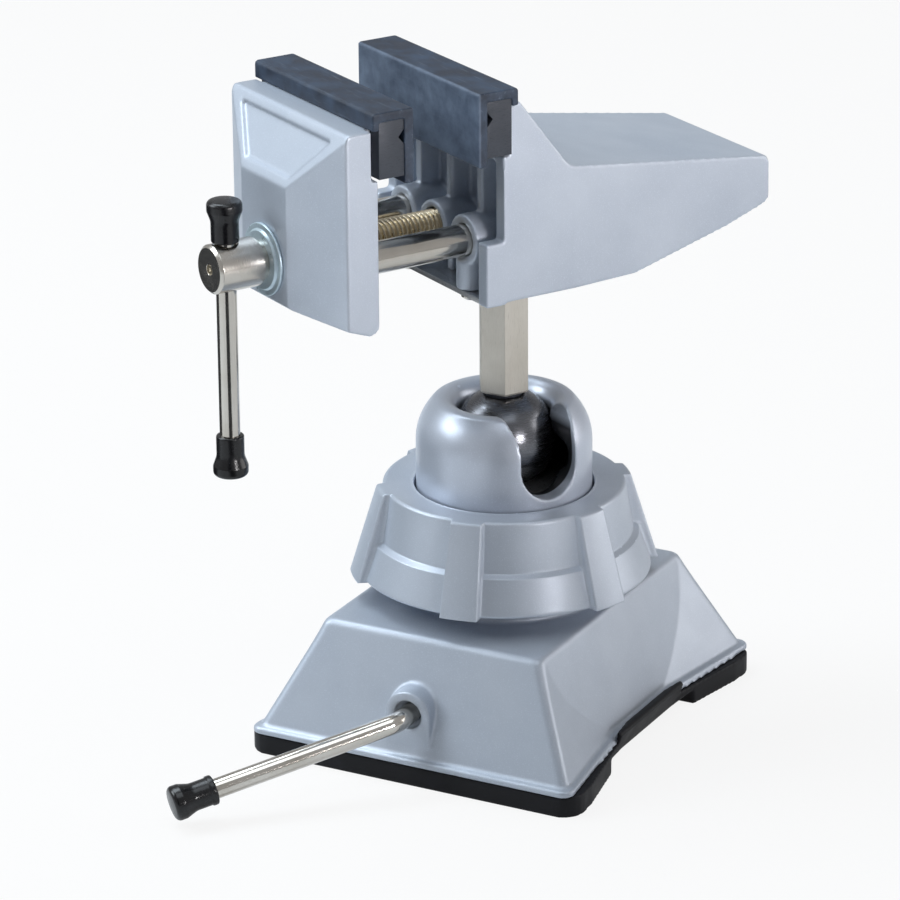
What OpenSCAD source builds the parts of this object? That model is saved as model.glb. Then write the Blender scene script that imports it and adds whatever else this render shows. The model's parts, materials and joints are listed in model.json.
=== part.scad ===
// Suction base vise: a small bench vise on a ball joint, held down by a lever-operated suction pad.
// Origin: centre of the suction pad's underside, on the bench. +Z up, the lever side of the base is -Y.
// The head is drawn in its own frame (x across the jaws, y along the screw) and turned about Z.

/* [Suction pad] */
// Thickness of the rubber pad's rim under the casting
pad_t = 6.8; // [5:0.1:9]
// How far the pad stands out past the casting's foot at the sides
pad_side_over = 2.7; // [1:0.1:4]
// How far the pad stands out past the casting's foot at front and back
pad_end_over = 0.7; // [0.3:0.1:3]
// Thickness of the pad's flexible middle
pad_web_t = 2.5; // [1.5:0.1:4]
// Length of the finger tab on each side of the pad
tab_len = 46.4; // [30:0.1:56]
// Height of the finger tab above the pad's rim
tab_h = 4.2; // [2:0.1:6]
// How far the tabs' top edges flare out past the pad's waist
tab_flare = 2.6; // [1:0.1:4]
// Radius of the steel plate bonded to the pad's middle
plate_r = 34; // [26:0.5:40]
// Thickness of that steel plate
plate_t = 1.5; // [1:0.1:2.2]
// How far the lever lifts the plate
pad_lift = 3.6; // [2:0.1:4]

/* [Base casting] */
// Width of the casting's top face
base_top_w = 76.5; // [72:0.5:90]
// Depth of the casting's top face
base_top_d = 101.2; // [92:0.2:110]
// Width of the casting at its foot
base_foot_w = 112; // [106:0.5:126]
// Depth of the casting at its foot
base_foot_d = 132.5; // [126:0.5:146]
// Height of the casting from the pad's rim to its top face
base_h = 36.8; // [35:0.1:46]
// Wall thickness of the casting
base_wall = 3.5; // [2.5:0.1:5]
// How far each side panel leans out from top to foot
panel_flare = 10.5; // [6:0.1:13]
// Length of the side panel at the foot
panel_foot_len = 28; // [16:0.5:40]
// Radius of the casting's upright corners
corner_r = 2.5; // [1.5:0.1:4]
// Rounding of the top face's edge
edge_r = 1.5; // [0.6:0.1:2.5]
// Height of the lip round the foot
lip_h = 2.3; // [1.5:0.1:4]
// How far the lip stands out
lip_out = 1.2; // [0.6:0.1:1.8]
// Radius of the round pedestal that carries the ball joint
pedestal_r = 33; // [30:0.5:35]
// Height of the pedestal above the top face
pedestal_h = 26.4; // [25:0.1:34]

/* [Vacuum lever] */
// Diameter of the lever rod
lever_d = 6.35; // [5:0.05:7]
// Sideways place of the lever's shaft
lever_x = -1.5; // [-4:0.1:4]
// Height of the lever's shaft above the bench
lever_z = 22.5; // [21:0.1:24]
// Straight length of the arm past its bend
arm_len = 73; // [50:0.5:95]
// Angle between the shaft and the arm
arm_bend = 42; // [25:1:60]
// How far the arm hangs below level, turned about the shaft
arm_drop = 17; // [5:0.5:18]
// Centre-line radius of the bend
bend_r = 8; // [6:0.5:12]
// Radius of the round-topped boss at the lever's hole
boss_r = 7.8; // [6.5:0.1:9.5]
// How far the boss's face stands behind the foot's front edge
boss_setback = 2.25; // [1.5:0.05:4]
// Radius of the cam that lifts the pad
cam_r = 9; // [7.5:0.1:9.5]
// Thickness of the cam
cam_w = 7; // [5:0.5:10]
// Length of the rubber tip on the arm
tip_len = 14.5; // [11:0.5:20]

/* [Lock ring] */
// Height of the lock ring
ring_h = 29.4; // [26:0.1:31]
// Gap between the ring's underside and the casting's top face
ring_gap = 7.3; // [2:0.1:9]
// Radius of the ring's top edge
ring_top_r = 38.6; // [37:0.1:42]
// Radius of the ring's upper wall at the step
ring_step_r = 41.2; // [40:0.1:44]
// Radius of the ring's skirt at the bottom
ring_foot_r = 47.3; // [45:0.1:48]
// Number of grip ribs round the ring
rib_count = 6; // [5:1:10]
// Angle that one grip rib covers
rib_angle = 15; // [8:1:20]
// Turn of the first rib from the base's +X side
rib_turn = -80; // [-180:1:180]
// How far the ribs stand out at the skirt's bottom edge
rib_out = 2.3; // [1:0.1:3]

/* [Ball joint] */
// Diameter of the ball
ball_d = 33; // [31:0.5:35]
// Outer radius of the dome that clamps the ball
dome_r = 28.1; // [27.5:0.1:29]
// Wall thickness of the dome round the ball
dome_wall = 4.6; // [3.5:0.1:6]
// Width of the slot that lets the stem lie down
slot_w = 20; // [18.5:0.1:22]
// Distance across the flats of the hexagonal stem
stem_af = 15; // [12:0.1:15.8]
// Height of the screw's axis above the ball's centre
head_rise = 75.2; // [70:0.1:90]
// Turn of the head about the stem
head_turn = -30; // [-180:1:180]

/* [Jaws] */
// Width of the jaw covers
jaw_w = 70; // [66:0.5:84]
// Width of the castings behind the jaw plates
head_w = 68; // [66:0.5:80]
// Opening between the jaw covers as drawn
jaw_gap = 22.9; // [2:0.1:56]
// Distance from the stem's axis to the rear jaw plate's seat
rear_seat = 19; // [17.5:0.1:24]
// Thickness of the steel jaw plates
jaw_plate_t = 8.8; // [7:0.1:11]
// Height of the steel jaw plates
jaw_plate_h = 17.7; // [15:0.1:22]
// Height of the jaw plates' bottom edge above the screw's axis
jaw_plate_rise = 30.5; // [29.5:0.1:34]
// Depth of the V-groove along each plate
vee_depth = 2; // [1:0.1:3]
// Thickness of the soft covers on the gripping side
cover_t = 3.2; // [2:0.1:4.5]
// Thickness of the soft covers over the plate's top edge
cover_top_t = 3; // [2:0.1:4]
// Wall thickness of the front jaw casting
jaw_wall = 4.5; // [3.5:0.1:6]
// Depth of the front jaw at its nose, from the plate's seat
nose_reach = 20.1; // [17:0.1:26]
// Half width of the front jaw's nose
nose_half_w = 13.2; // [12.5:0.1:18]

/* [Rear body] */
// Distance from the stem's axis to the end of the tail
tail_reach = 82.2; // [76:0.1:100]
// Width of the tail's end
tail_w = 55.4; // [50:0.2:64]
// Depth of the body's underside below the screw's axis
body_drop = 17.7; // [17.5:0.1:24]
// Wall thickness of the body's open bay
bay_wall = 5; // [3:0.1:7]
// Thickness of the plate that closes the bay's floor
floor_t = 1.5; // [1:0.1:2]

/* [Rods and screw] */
// Diameter of the guide rods
guide_d = 10; // [8:0.1:10.4]
// Distance of each guide rod from the screw's axis
guide_offset = 17.7; // [17:0.1:20]
// Length of the guide rods
guide_len = 114; // [100:0.5:116]
// Outer diameter of the lead screw
screw_d = 10; // [8:0.1:10.2]
// Outer radius of the bosses round the rods and the screw
guide_boss_r = 7.9; // [7.2:0.1:8.2]
// Diameter of the screw's hub
hub_d = 15.4; // [13.5:0.1:18]
// Length of the screw's hub
hub_len = 17.5; // [15:0.1:24]
// Outer radius of the thrust washer
washer_r = 11.3; // [9:0.1:12.5]
// Diameter of the sliding handle bar
bar_d = 6.35; // [5:0.05:7]
// Length of the sliding handle over its caps
handle_len = 89; // [70:0.5:110]
// Length of each handle cap
cap_len = 13.5; // [9:0.5:18]

/* [Hidden] */

$fn = 64;
eps = 0.01;         // overlap of pieces that are joined into one solid
running = 0.05;     // radial clearance of a shaft in its bore
seat_gap = 0.3;     // gap between faces of bodies that move on each other
slip = 0.2;         // gap of a loose piece on what it rests on

// Heights above the bench
base_top_z = pad_t + base_h;
pedestal_z = base_top_z + pedestal_h;
lever_r = lever_d / 2;

// ---- Helpers -------------------------------------------------------------------------------

function unit(v) = v / norm(v);

// Points of the arc that rounds corner b between a and c with radius r
function corner_arc(a, b, c, r, n = 5) =
    let (u = unit(a - b), v = unit(c - b), half = acos(u * v) / 2,
         reach = r / tan(half), centre = b + unit(u + v) * r / sin(half),
         p = b + u * reach - centre, q = b + v * reach - centre,
         sweep = 180 - 2 * half, side = sign(p.x * q.y - p.y * q.x))
    [for (i = [0:n]) let (w = side * sweep * i / n)
        centre + [p.x * cos(w) - p.y * sin(w), p.x * sin(w) + p.y * cos(w)]];

// A polygon's points with its corners rounded: each point is [x, y, radius]
function rounded(pts) = let (n = len(pts)) [
    for (i = [0:n - 1])
        let (a = pts[(i + n - 1) % n], b = pts[i], c = pts[(i + 1) % n])
        each b[2] > 0
            ? corner_arc([a.x, a.y], [b.x, b.y], [c.x, c.y], b[2])
            : [[b.x, b.y]]];

// Skin of stacked outlines that all have the same number of points
module loft(outlines, heights) {
    m = len(outlines);
    n = len(outlines[0]);
    points = [for (k = [0:m - 1]) for (p = outlines[k]) [p.x, p.y, heights[k]]];
    walls = [for (k = [0:m - 2]) for (i = [0:n - 1]) let (j = (i + 1) % n)
        each [[k * n + i, (k + 1) * n + i, (k + 1) * n + j], [k * n + i, (k + 1) * n + j, k * n + j]]];
    polyhedron(points, concat(walls, [[for (i = [0:n - 1]) i]],
        [[for (i = [n - 1:-1:0]) (m - 1) * n + i]]), convexity = 6);
}

// Turns a drawing made in the head's frame to where the head stands
module in_head() rotate([0, 0, head_turn]) children();

// Extrudes a drawing of (y, z) points over a width centred on x = 0
module across(width) rotate([90, 0, 90]) translate([0, 0, -width / 2]) linear_extrude(width) children();

// A bar along y from y0 to y1
module bar_y(r, y0, y1) translate([0, y1, 0]) rotate([90, 0, 0]) cylinder(r = r, h = y1 - y0);

// Revolves a drawing of (radius, height) points about the y axis, its heights running to -y
module turned_y(y0) translate([0, y0, 0]) rotate([90, 0, 0]) rotate_extrude() children();

// ---- Base ----------------------------------------------------------------------------------

// Share of the way from the top face (0) down to the foot (1)
function down(z) = (base_top_z - z) / base_h;
function corner_w(z) = (base_top_w + (base_foot_w - base_top_w) * down(z)) / 2;
function corner_d(z) = (base_top_d + (base_foot_d - base_top_d) * down(z)) / 2;
function panel_w(z) = base_top_w / 2 + panel_flare * down(z);
panel_top_len = base_top_d / 2 - corner_r - 0.6;    // half length of the panel at the top face
function panel_l(z) = panel_foot_len / 2
    + (panel_top_len - panel_foot_len / 2) * (1 - pow(down(z), 2));

// Outline of the casting at height z, moved out by o: four round corners and two side panels
function base_outline(z, o, r) =
    let (w = corner_w(z) + o, d = corner_d(z) + o, p = panel_w(z) + o,
         l = min(panel_l(z), d - r - 0.3))
    rounded([[w, -d, r], [p, -l, 0], [p, l, 0], [w, d, r],
             [-w, d, r], [-p, l, 0], [-p, -l, 0], [-w, -d, r]]);

// Levels of the casting's outside from the foot up: [height, height whose outline it takes, offset]
lip_round = 0.7;
lip_top = pad_t + lip_h;
wall_steps = 8;
wall_h = base_h - lip_h - edge_r;
levels = concat(
    [[pad_t, pad_t, lip_out], [lip_top - lip_round, pad_t, lip_out], [lip_top, pad_t, lip_out - lip_round]],
    [for (i = [0:wall_steps]) let (z = lip_top + wall_h * i / wall_steps) [z, z, 0]],
    [for (a = [30, 60, 90]) let (z = base_top_z - edge_r * (1 - sin(a))) [z, z, -edge_r * (1 - cos(a))]],
    [[base_top_z + 2, base_top_z, -edge_r]]);
inner_z = [for (i = [0:4]) pad_t - eps + (base_h + eps) * i / 4];

// Everything below height z, for cutting a loft off flat
module below(z) translate([-base_foot_w, -base_foot_d, 0]) cube([2 * base_foot_w, 2 * base_foot_d, z]);
boss_face = base_foot_d / 2 - boss_setback;
shaft_back = base_foot_d / 2 - 18;      // the shaft's rear end, in its lug
boss_depth = 16;                        // from the boss's face to its inner end
lug_len = 10;
lug_w = 13;

// The lever's round-topped boss, drawn as (x, z) and standing down to the foot
module boss_shape(r) {
    leg = lever_z - pad_t - 1;
    circle(r = r);
    translate([-r, -leg]) square([2 * r, leg]);
}

module base_housing() {
    seat_floor = 2;         // depth of the ball seat's counterbore
    hollow_r = pedestal_r - 8;
    color([0.74, 0.79, 0.87]) difference() {
        union() {
            difference() {
                intersection() {
                    loft([for (l = levels) base_outline(l[1], l[2], corner_r + max(l[2], 0))],
                        [for (l = levels) l[0]]);
                    below(base_top_z);
                }
                intersection() {
                    loft([for (z = inner_z) base_outline(z, -base_wall, corner_r)], inner_z);
                    below(base_top_z - base_wall);
                }
            }
            translate([0, 0, base_top_z - base_wall / 2])
                cylinder(r = pedestal_r, h = pedestal_h + base_wall / 2);
            // boss at the lever's hole, through the front wall
            translate([lever_x, boss_depth - boss_face, lever_z]) rotate([90, 0, 0])
                linear_extrude(boss_depth) boss_shape(boss_r);
            // lug under the roof that carries the shaft's rear end
            translate([lever_x - lug_w / 2, shaft_back - lug_len + 2, lever_z - lug_w / 2])
                cube([lug_w, lug_len, base_top_z - base_wall / 2 - lever_z + lug_w / 2]);
        }
        // the pedestal is hollow from below
        translate([0, 0, base_top_z - base_wall - 1])
            cylinder(r = hollow_r, h = pedestal_h - seat_floor - base_wall + 1);
        // counterbore for the ball seat
        translate([0, 0, pedestal_z - seat_floor]) cylinder(r = seat_r + running, h = seat_floor + eps);
        // bore for the lever's shaft
        translate([lever_x, 0, lever_z]) bar_y(lever_r + running, -base_foot_d, shaft_back);
    }
}

// ---- Suction pad and its lift --------------------------------------------------------------

pad_w = base_foot_w / 2 + pad_side_over;
pad_d = base_foot_d / 2 + pad_end_over;
web_w = panel_w(pad_t) - base_wall - 3;      // half width of the pad's flexible middle
web_d = base_foot_d / 2 - base_wall - 6;
tab_clear = 0.3;                             // gap between the tabs and the casting

// Draws children of (x, z) as a bar along y, once on each side of the base
module on_both_sides(length) for (s = [-1, 1]) scale([s, 1, 1]) translate([0, length / 2, 0])
    rotate([90, 0, 0]) linear_extrude(length) children();

module suction_pad() {
    waist_w = panel_w(pad_t) + lip_out + 0.7;    // half width of the pad where its sides draw in
    waist_l = panel_foot_len / 2 + 2;
    undercut_h = 3.2;            // the pad's lower edge is cut away there, so that fingers get under it
    undercut_w = 4.4;
    undercut_len = tab_len + 14;
    color([0.07, 0.07, 0.08]) difference() {
        union() {
            linear_extrude(pad_t) polygon(rounded([
                [pad_w, -pad_d, 7], [pad_w - 0.9, -pad_d * 0.8, 12], [waist_w, -waist_l, 20],
                [waist_w, waist_l, 20], [pad_w - 0.9, pad_d * 0.8, 12], [pad_w, pad_d, 7],
                [-pad_w, pad_d, 7], [-pad_w + 0.9, pad_d * 0.8, 12], [-waist_w, waist_l, 20],
                [-waist_w, -waist_l, 20], [-pad_w + 0.9, -pad_d * 0.8, 12], [-pad_w, -pad_d, 7]]));
            // finger tabs, one on each side, flaring outwards in front of the panel
            on_both_sides(tab_len) polygon([[waist_w - 1.6, 1.5], [waist_w - 0.4, 1.5],
                [waist_w + tab_flare, pad_t + tab_h - 0.9], [waist_w + tab_flare - 0.9, pad_t + tab_h],
                [waist_w - 0.4, pad_t + tab_h], [waist_w - 0.4, pad_t - 1], [waist_w - 1.6, pad_t - 1]]);
        }
        // the tabs stand clear of the casting's foot
        translate([0, 0, pad_t]) linear_extrude(tab_h + 1)
            polygon(base_outline(pad_t, lip_out + tab_clear, corner_r + lip_out));
        on_both_sides(undercut_len) polygon([[waist_w - undercut_w, -1], [waist_w - undercut_w, 0],
            [waist_w, undercut_h], [waist_w + undercut_w, 2 * undercut_h], [waist_w + undercut_w, -1]]);
        translate([0, 0, pad_web_t]) linear_extrude(pad_t) polygon(rounded([
            [web_w, -web_d, 12], [web_w, web_d, 12], [-web_w, web_d, 12], [-web_w, -web_d, 12]]));
    }
}

plate_top = pad_web_t + plate_t;
module pad_plate() color([0.6, 0.6, 0.62]) translate([0, 0, pad_web_t]) cylinder(r = plate_r, h = plate_t);

cam_e = pad_lift / 2;            // offset of the cam
cam_clear = 0.5;                 // clearance of the cam in the yoke
yoke_bar = 4;
module pull_yoke() {
    slot_half = cam_r + cam_e + cam_clear;
    slot_low = lever_z - cam_e - cam_r - cam_clear;
    slot_high = lever_z - cam_e + cam_r + cam_clear;
    yoke_t = cam_w - 2;
    foot_t = 2;
    color([0.58, 0.58, 0.6]) translate([lever_x, 0, 0]) {
        translate([0, yoke_t / 2, 0]) rotate([90, 0, 0]) linear_extrude(yoke_t) difference() {
            translate([-slot_half - yoke_bar, plate_top])
                square([2 * (slot_half + yoke_bar), slot_high + yoke_bar - plate_top]);
            translate([-slot_half, slot_low]) square([2 * slot_half, slot_high - slot_low]);
        }
        translate([-slot_half, -yoke_t, plate_top]) cube([2 * slot_half, 2 * yoke_t, foot_t]);
    }
}

// ---- Vacuum lever --------------------------------------------------------------------------

bend_start = boss_face + 3;      // where the shaft starts to bend, in front of the boss
bend_over = 3;                   // how many degrees the bend runs on inside each straight length
bend_thinning = 0.03;
clip_y = boss_depth - boss_face + seat_gap;     // the clip sits behind the boss's inner end
clip_t = 0.8;
hub_w = 7;                       // width of the cam's hub
pin_r = 1.5;

// Puts children on the arm: their z axis runs out along the arm from the bend's end
module on_arm() translate([lever_x, 0, lever_z]) rotate([0, -arm_drop, 0])
    translate([-bend_r * (1 - cos(arm_bend)), -bend_start - bend_r * sin(arm_bend), 0])
    rotate([90, 0, -arm_bend]) children();

module vacuum_lever() {
    rod_len = arm_len - 1.5;     // the rod ends inside the tip
    color([0.86, 0.84, 0.8]) difference() {
        union() {
            translate([lever_x, 0, lever_z]) rotate([0, -arm_drop, 0]) {
                bar_y(lever_r, -bend_start, shaft_back - seat_gap);
                // the rod is a little thinner in its bend, which runs into both straight lengths
                translate([-bend_r, -bend_start, 0]) rotate([0, 0, -arm_bend - bend_over])
                    rotate_extrude(angle = arm_bend + 2 * bend_over)
                    translate([bend_r, 0]) circle(r = lever_r - bend_thinning);
            }
            on_arm() cylinder(r = lever_r, h = rod_len);
        }
        // groove for the clip
        translate([lever_x, clip_y, lever_z]) rotate([-90, 0, 0]) difference() {
            cylinder(r = lever_r + 1, h = clip_t + 0.1);
            cylinder(r = lever_r - 0.6, h = clip_t + 0.1);
        }
        cam_pin_shape();
    }
}

module lever_tip() {
    neck = lever_r + 1.3;
    flare = lever_r + 2.5;
    color([0.06, 0.06, 0.07]) on_arm() translate([0, 0, arm_len - tip_len]) difference() {
        rotate_extrude() polygon(rounded([[0, 0, 0], [neck, 0, 0.5], [neck, tip_len * 0.45, 8],
            [flare, tip_len * 0.8, 1.5], [flare, tip_len, 1.5], [0, tip_len, 0]]));
        translate([0, 0, -eps]) cylinder(r = lever_r, h = tip_len - 1.5 + eps);
    }
}

module cam_pin_shape() translate([lever_x, cam_w / 2 + hub_w / 2, lever_z - lever_r - 3])
    cylinder(r = pin_r, h = 2 * lever_r + 6);

module lever_cam() color([0.62, 0.62, 0.64]) difference() {
    union() {
        translate([lever_x, 0, lever_z - cam_e]) bar_y(cam_r, -cam_w / 2, cam_w / 2);
        translate([lever_x, 0, lever_z]) bar_y(lever_r + 3, cam_w / 2 - 1, cam_w / 2 + hub_w);
    }
    translate([lever_x, 0, lever_z]) bar_y(lever_r, -cam_w, cam_w + hub_w);
    cam_pin_shape();
}

module cam_pin() color([0.5, 0.5, 0.52]) cam_pin_shape();

module lever_clip() color([0.35, 0.35, 0.37]) translate([lever_x, clip_y, lever_z])
    rotate([-90, 0, 0]) difference() {
        cylinder(r = lever_r + 2.4, h = clip_t);
        translate([0, 0, -eps]) cylinder(r = lever_r - 0.6, h = clip_t + 2 * eps);
        translate([-1.6, -lever_r * 3, -eps]) cube([3.2, lever_r * 3, clip_t + 2 * eps]);
    }

// ---- Ball joint ----------------------------------------------------------------------------

ball_r = ball_d / 2;
ball_clear = 0.1;                        // clearance of the ball in its seats
ball_z = pedestal_z + ball_r + 8;
flat_depth = 1.5;                        // how much of the ball is cut away under the stem
spigot_r = stem_af * 0.4;
spigot_len = 12.6;
stem_low = ball_z + ball_r - 0.4;        // the hexagon's lower end
seat_r = ball_r + 3.4;
seat_floor_z = pedestal_z - 2;
seat_top_z = ball_z - ball_r * 0.76;

module ball_seat() color([0.45, 0.45, 0.47]) difference() {
    translate([0, 0, seat_floor_z]) cylinder(r = seat_r, h = seat_top_z - seat_floor_z);
    translate([0, 0, ball_z]) sphere(r = ball_r + ball_clear);
}

module ball() color([0.4, 0.4, 0.42]) difference() {
    translate([0, 0, ball_z]) sphere(r = ball_r);
    translate([-ball_r, -ball_r, ball_z + ball_r - flat_depth]) cube([ball_d, ball_d, ball_r]);
    translate([0, 0, stem_low - spigot_len - slip]) cylinder(r = spigot_r + running, h = ball_d);
}

flange_t = 4.5;                          // the dome's flange, held down by the ring
flange_z = pedestal_z + seat_gap;
lip_z = flange_z + flange_t + seat_gap;  // underside of the ring's inner lip
ring_low = base_top_z + ring_gap;
ring_top = ring_low + ring_h;
flange_r = pedestal_r - 0.5;

module lock_ring() {
    step_z = ring_low + ring_h * 0.44;
    step_h = 1.5;
    step_out = 1.7;
    groove_top = ring_low + ring_h * 0.3;
    skin = 3;                // wall of the ring's hollow skirt
    rib_top_out = 2.1;
    mouth_r = dome_r + 0.45;
    color([0.76, 0.81, 0.89]) {
        difference() {
            rotate_extrude() polygon(rounded([[mouth_r, lip_z, 0], [mouth_r, ring_top, 0.6],
                [ring_top_r, ring_top - 0.4, 1.2], [ring_step_r, step_z, 0.4],
                [ring_step_r + step_out, step_z - step_h, 0.6], [ring_foot_r, ring_low, 0.8],
                [ring_foot_r - skin, ring_low, 0], [ring_step_r - 0.5, groove_top, 1],
                [pedestal_r + 3.2, groove_top, 1], [pedestal_r + 3.2, ring_low, 0],
                [pedestal_r + running, ring_low, 0], [pedestal_r + running, lip_z, 0]]));
        }
        // grip ribs
        for (k = [0:rib_count - 1]) rotate([0, 0, rib_turn - rib_angle / 2 + k * 360 / rib_count])
            rotate_extrude(angle = rib_angle) polygon([[ring_top_r - 1.5, ring_top - 0.5],
                [ring_top_r + rib_top_out - 0.6, ring_top - 0.5],
                [ring_top_r + rib_top_out, ring_top - 1.1], [ring_foot_r + rib_out, ring_low + 0.6],
                [ring_foot_r + rib_out - 0.6, ring_low], [ring_foot_r - skin + 0.6, ring_low],
                [ring_step_r - 0.9, step_z - step_h]]);
    }
}

dome_equator = ball_z - 0.6;             // where the dome's outside starts to round over
dome_rise = ball_r * 1.36;               // height of the ellipse that the outside follows
crest_r = ball_r + 3.7;                  // radius of the mouth's crest
hold_angle = 28;                         // how far up the ball its upper seat reaches
mouth_hold_r = (ball_r + ball_clear) * cos(hold_angle);
mouth_hold_z = ball_z + (ball_r + ball_clear) * sin(hold_angle);

function dome_z(r) = dome_equator + dome_rise * sqrt(1 - pow(r / dome_r, 2));

module dome_profile() {
    shoulder_r = crest_r + 2;
    top_angle = acos(shoulder_r / dome_r);
    crest_z = dome_z(shoulder_r) + 0.6;
    bore_r = seat_r + running;
    cavity_r = dome_r - dome_wall;
    land_angle = 12;             // where the upper seat ends and the hollow round the ball begins
    polygon(concat(
        [[bore_r, flange_z], [flange_r, flange_z], [flange_r, flange_z + flange_t],
         [dome_r, flange_z + flange_t]],
        [for (i = [0:10]) let (a = top_angle * i / 10)
            [dome_r * cos(a), dome_equator + dome_rise * sin(a)]],
        [for (i = [0:6]) let (a = 90 + 90 * i / 6)
            [crest_r + (crest_r - mouth_hold_r) * cos(a),
             mouth_hold_z + (crest_z - mouth_hold_z) * sin(a)]],
        [for (i = [1:4]) let (a = hold_angle + (land_angle - hold_angle) * i / 4)
            [(ball_r + ball_clear) * cos(a), ball_z + (ball_r + ball_clear) * sin(a)]],
        [[cavity_r - 1.5, ball_z + 1.5], [cavity_r, ball_z], [cavity_r, ball_z - 5],
         [bore_r, ball_z - 8]]));
}

module clamp_dome() {
    slot_r = slot_w / 2;
    slot_low_z = ball_z - 2.5;      // centre of the slot's round bottom
    slot_flare_z = ball_z + 6.5;
    flare = 1.6;
    slot_top = ball_z + ball_d;
    color([0.78, 0.83, 0.92]) in_head() difference() {
        rotate_extrude() dome_profile();
        rotate([90, 0, 90]) linear_extrude(dome_r + 5) union() {
            translate([0, slot_low_z]) circle(r = slot_r);
            polygon([[-slot_r, slot_low_z], [slot_r, slot_low_z], [slot_r, slot_flare_z],
                [slot_r + flare, ball_z + 14], [slot_r + flare, slot_top],
                [-slot_r - flare, slot_top], [-slot_r - flare, ball_z + 14],
                [-slot_r, slot_flare_z]]);
        }
    }
}

screw_z = ball_z + head_rise;            // height of the screw's axis
stem_top = screw_z - 7.3;
stem_corner_r = stem_af / 2 / cos(30);

module hex_stem() color([0.8, 0.76, 0.7]) in_head() {
    translate([0, 0, stem_low]) rotate([0, 0, 30]) cylinder(r = stem_corner_r, h = stem_top - stem_low, $fn = 6);
    translate([0, 0, stem_low - spigot_len]) cylinder(r = spigot_r, h = spigot_len + eps);
}

// ---- Rear jaw ------------------------------------------------------------------------------

body_low = screw_z - body_drop;
plate_low = screw_z + jaw_plate_rise;
plate_high = plate_low + jaw_plate_h;
body_top = plate_high - 2.8;             // top of the castings beside the plates
rear_plate_front = -rear_seat - jaw_plate_t;
rear_face = rear_plate_front - cover_t;  // gripping face of the rear cover
bay_front = rear_plate_front;            // front edge of the body's lower walls
wall_front = -rear_seat - 2.4;           // front edge of the upper walls
bay_back = -13;
bay_half = head_w / 2 - bay_wall;
bay_top = plate_low - 3.2;
step_up_z = screw_z + 2.7;
boss_front = bay_front + 1.8;
rod_depth = tail_reach - 20;             // how far the rods' bores run into the tail
floor_back = 18;
floor_z = body_low + 0.3;
pillar_r = 4.5;
pillar_y = bay_front + pillar_r;
nut_r = 6.6;
nut_len = 12;
nut_back = -10;
rod_x = [-guide_offset, guide_offset];
plate_screw_x = [-jaw_w * 0.3, jaw_w * 0.3];
plate_screw_z = plate_low + 5.2;
plate_screw_r = 2;
plate_screw_len = jaw_plate_t + 7;
floor_screws = [[-guide_offset, pillar_y], [guide_offset, pillar_y],
    [-guide_offset - 5, floor_back - 8], [guide_offset + 5, floor_back - 8]];
floor_screw_r = 1.6;
floor_screw_len = 9;

// Side outline of the rear body, as (y, z) points with corner radii
function body_side() = rounded([
    [bay_front, body_low, 0.6], [bay_front, step_up_z, 0.6], [wall_front, step_up_z, 0],
    [wall_front, plate_low - 0.5, 0], [-rear_seat, plate_low - 0.5, 0], [-rear_seat, body_top, 0],
    [2.6 - rear_seat, body_top, 0], [3.6 - rear_seat, body_top + 1.3, 1],
    [2.6, screw_z + 22.9, 6], [tail_reach - 0.4, screw_z + 11.2, 2.5],
    [tail_reach, screw_z - 3.8, 3], [tail_reach * 0.8, screw_z - 8.8, 20],
    [28, body_low + 0.6, 12], [-19, body_low + 0.9, 0.5], [-22, body_low, 0.5]]);

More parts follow.
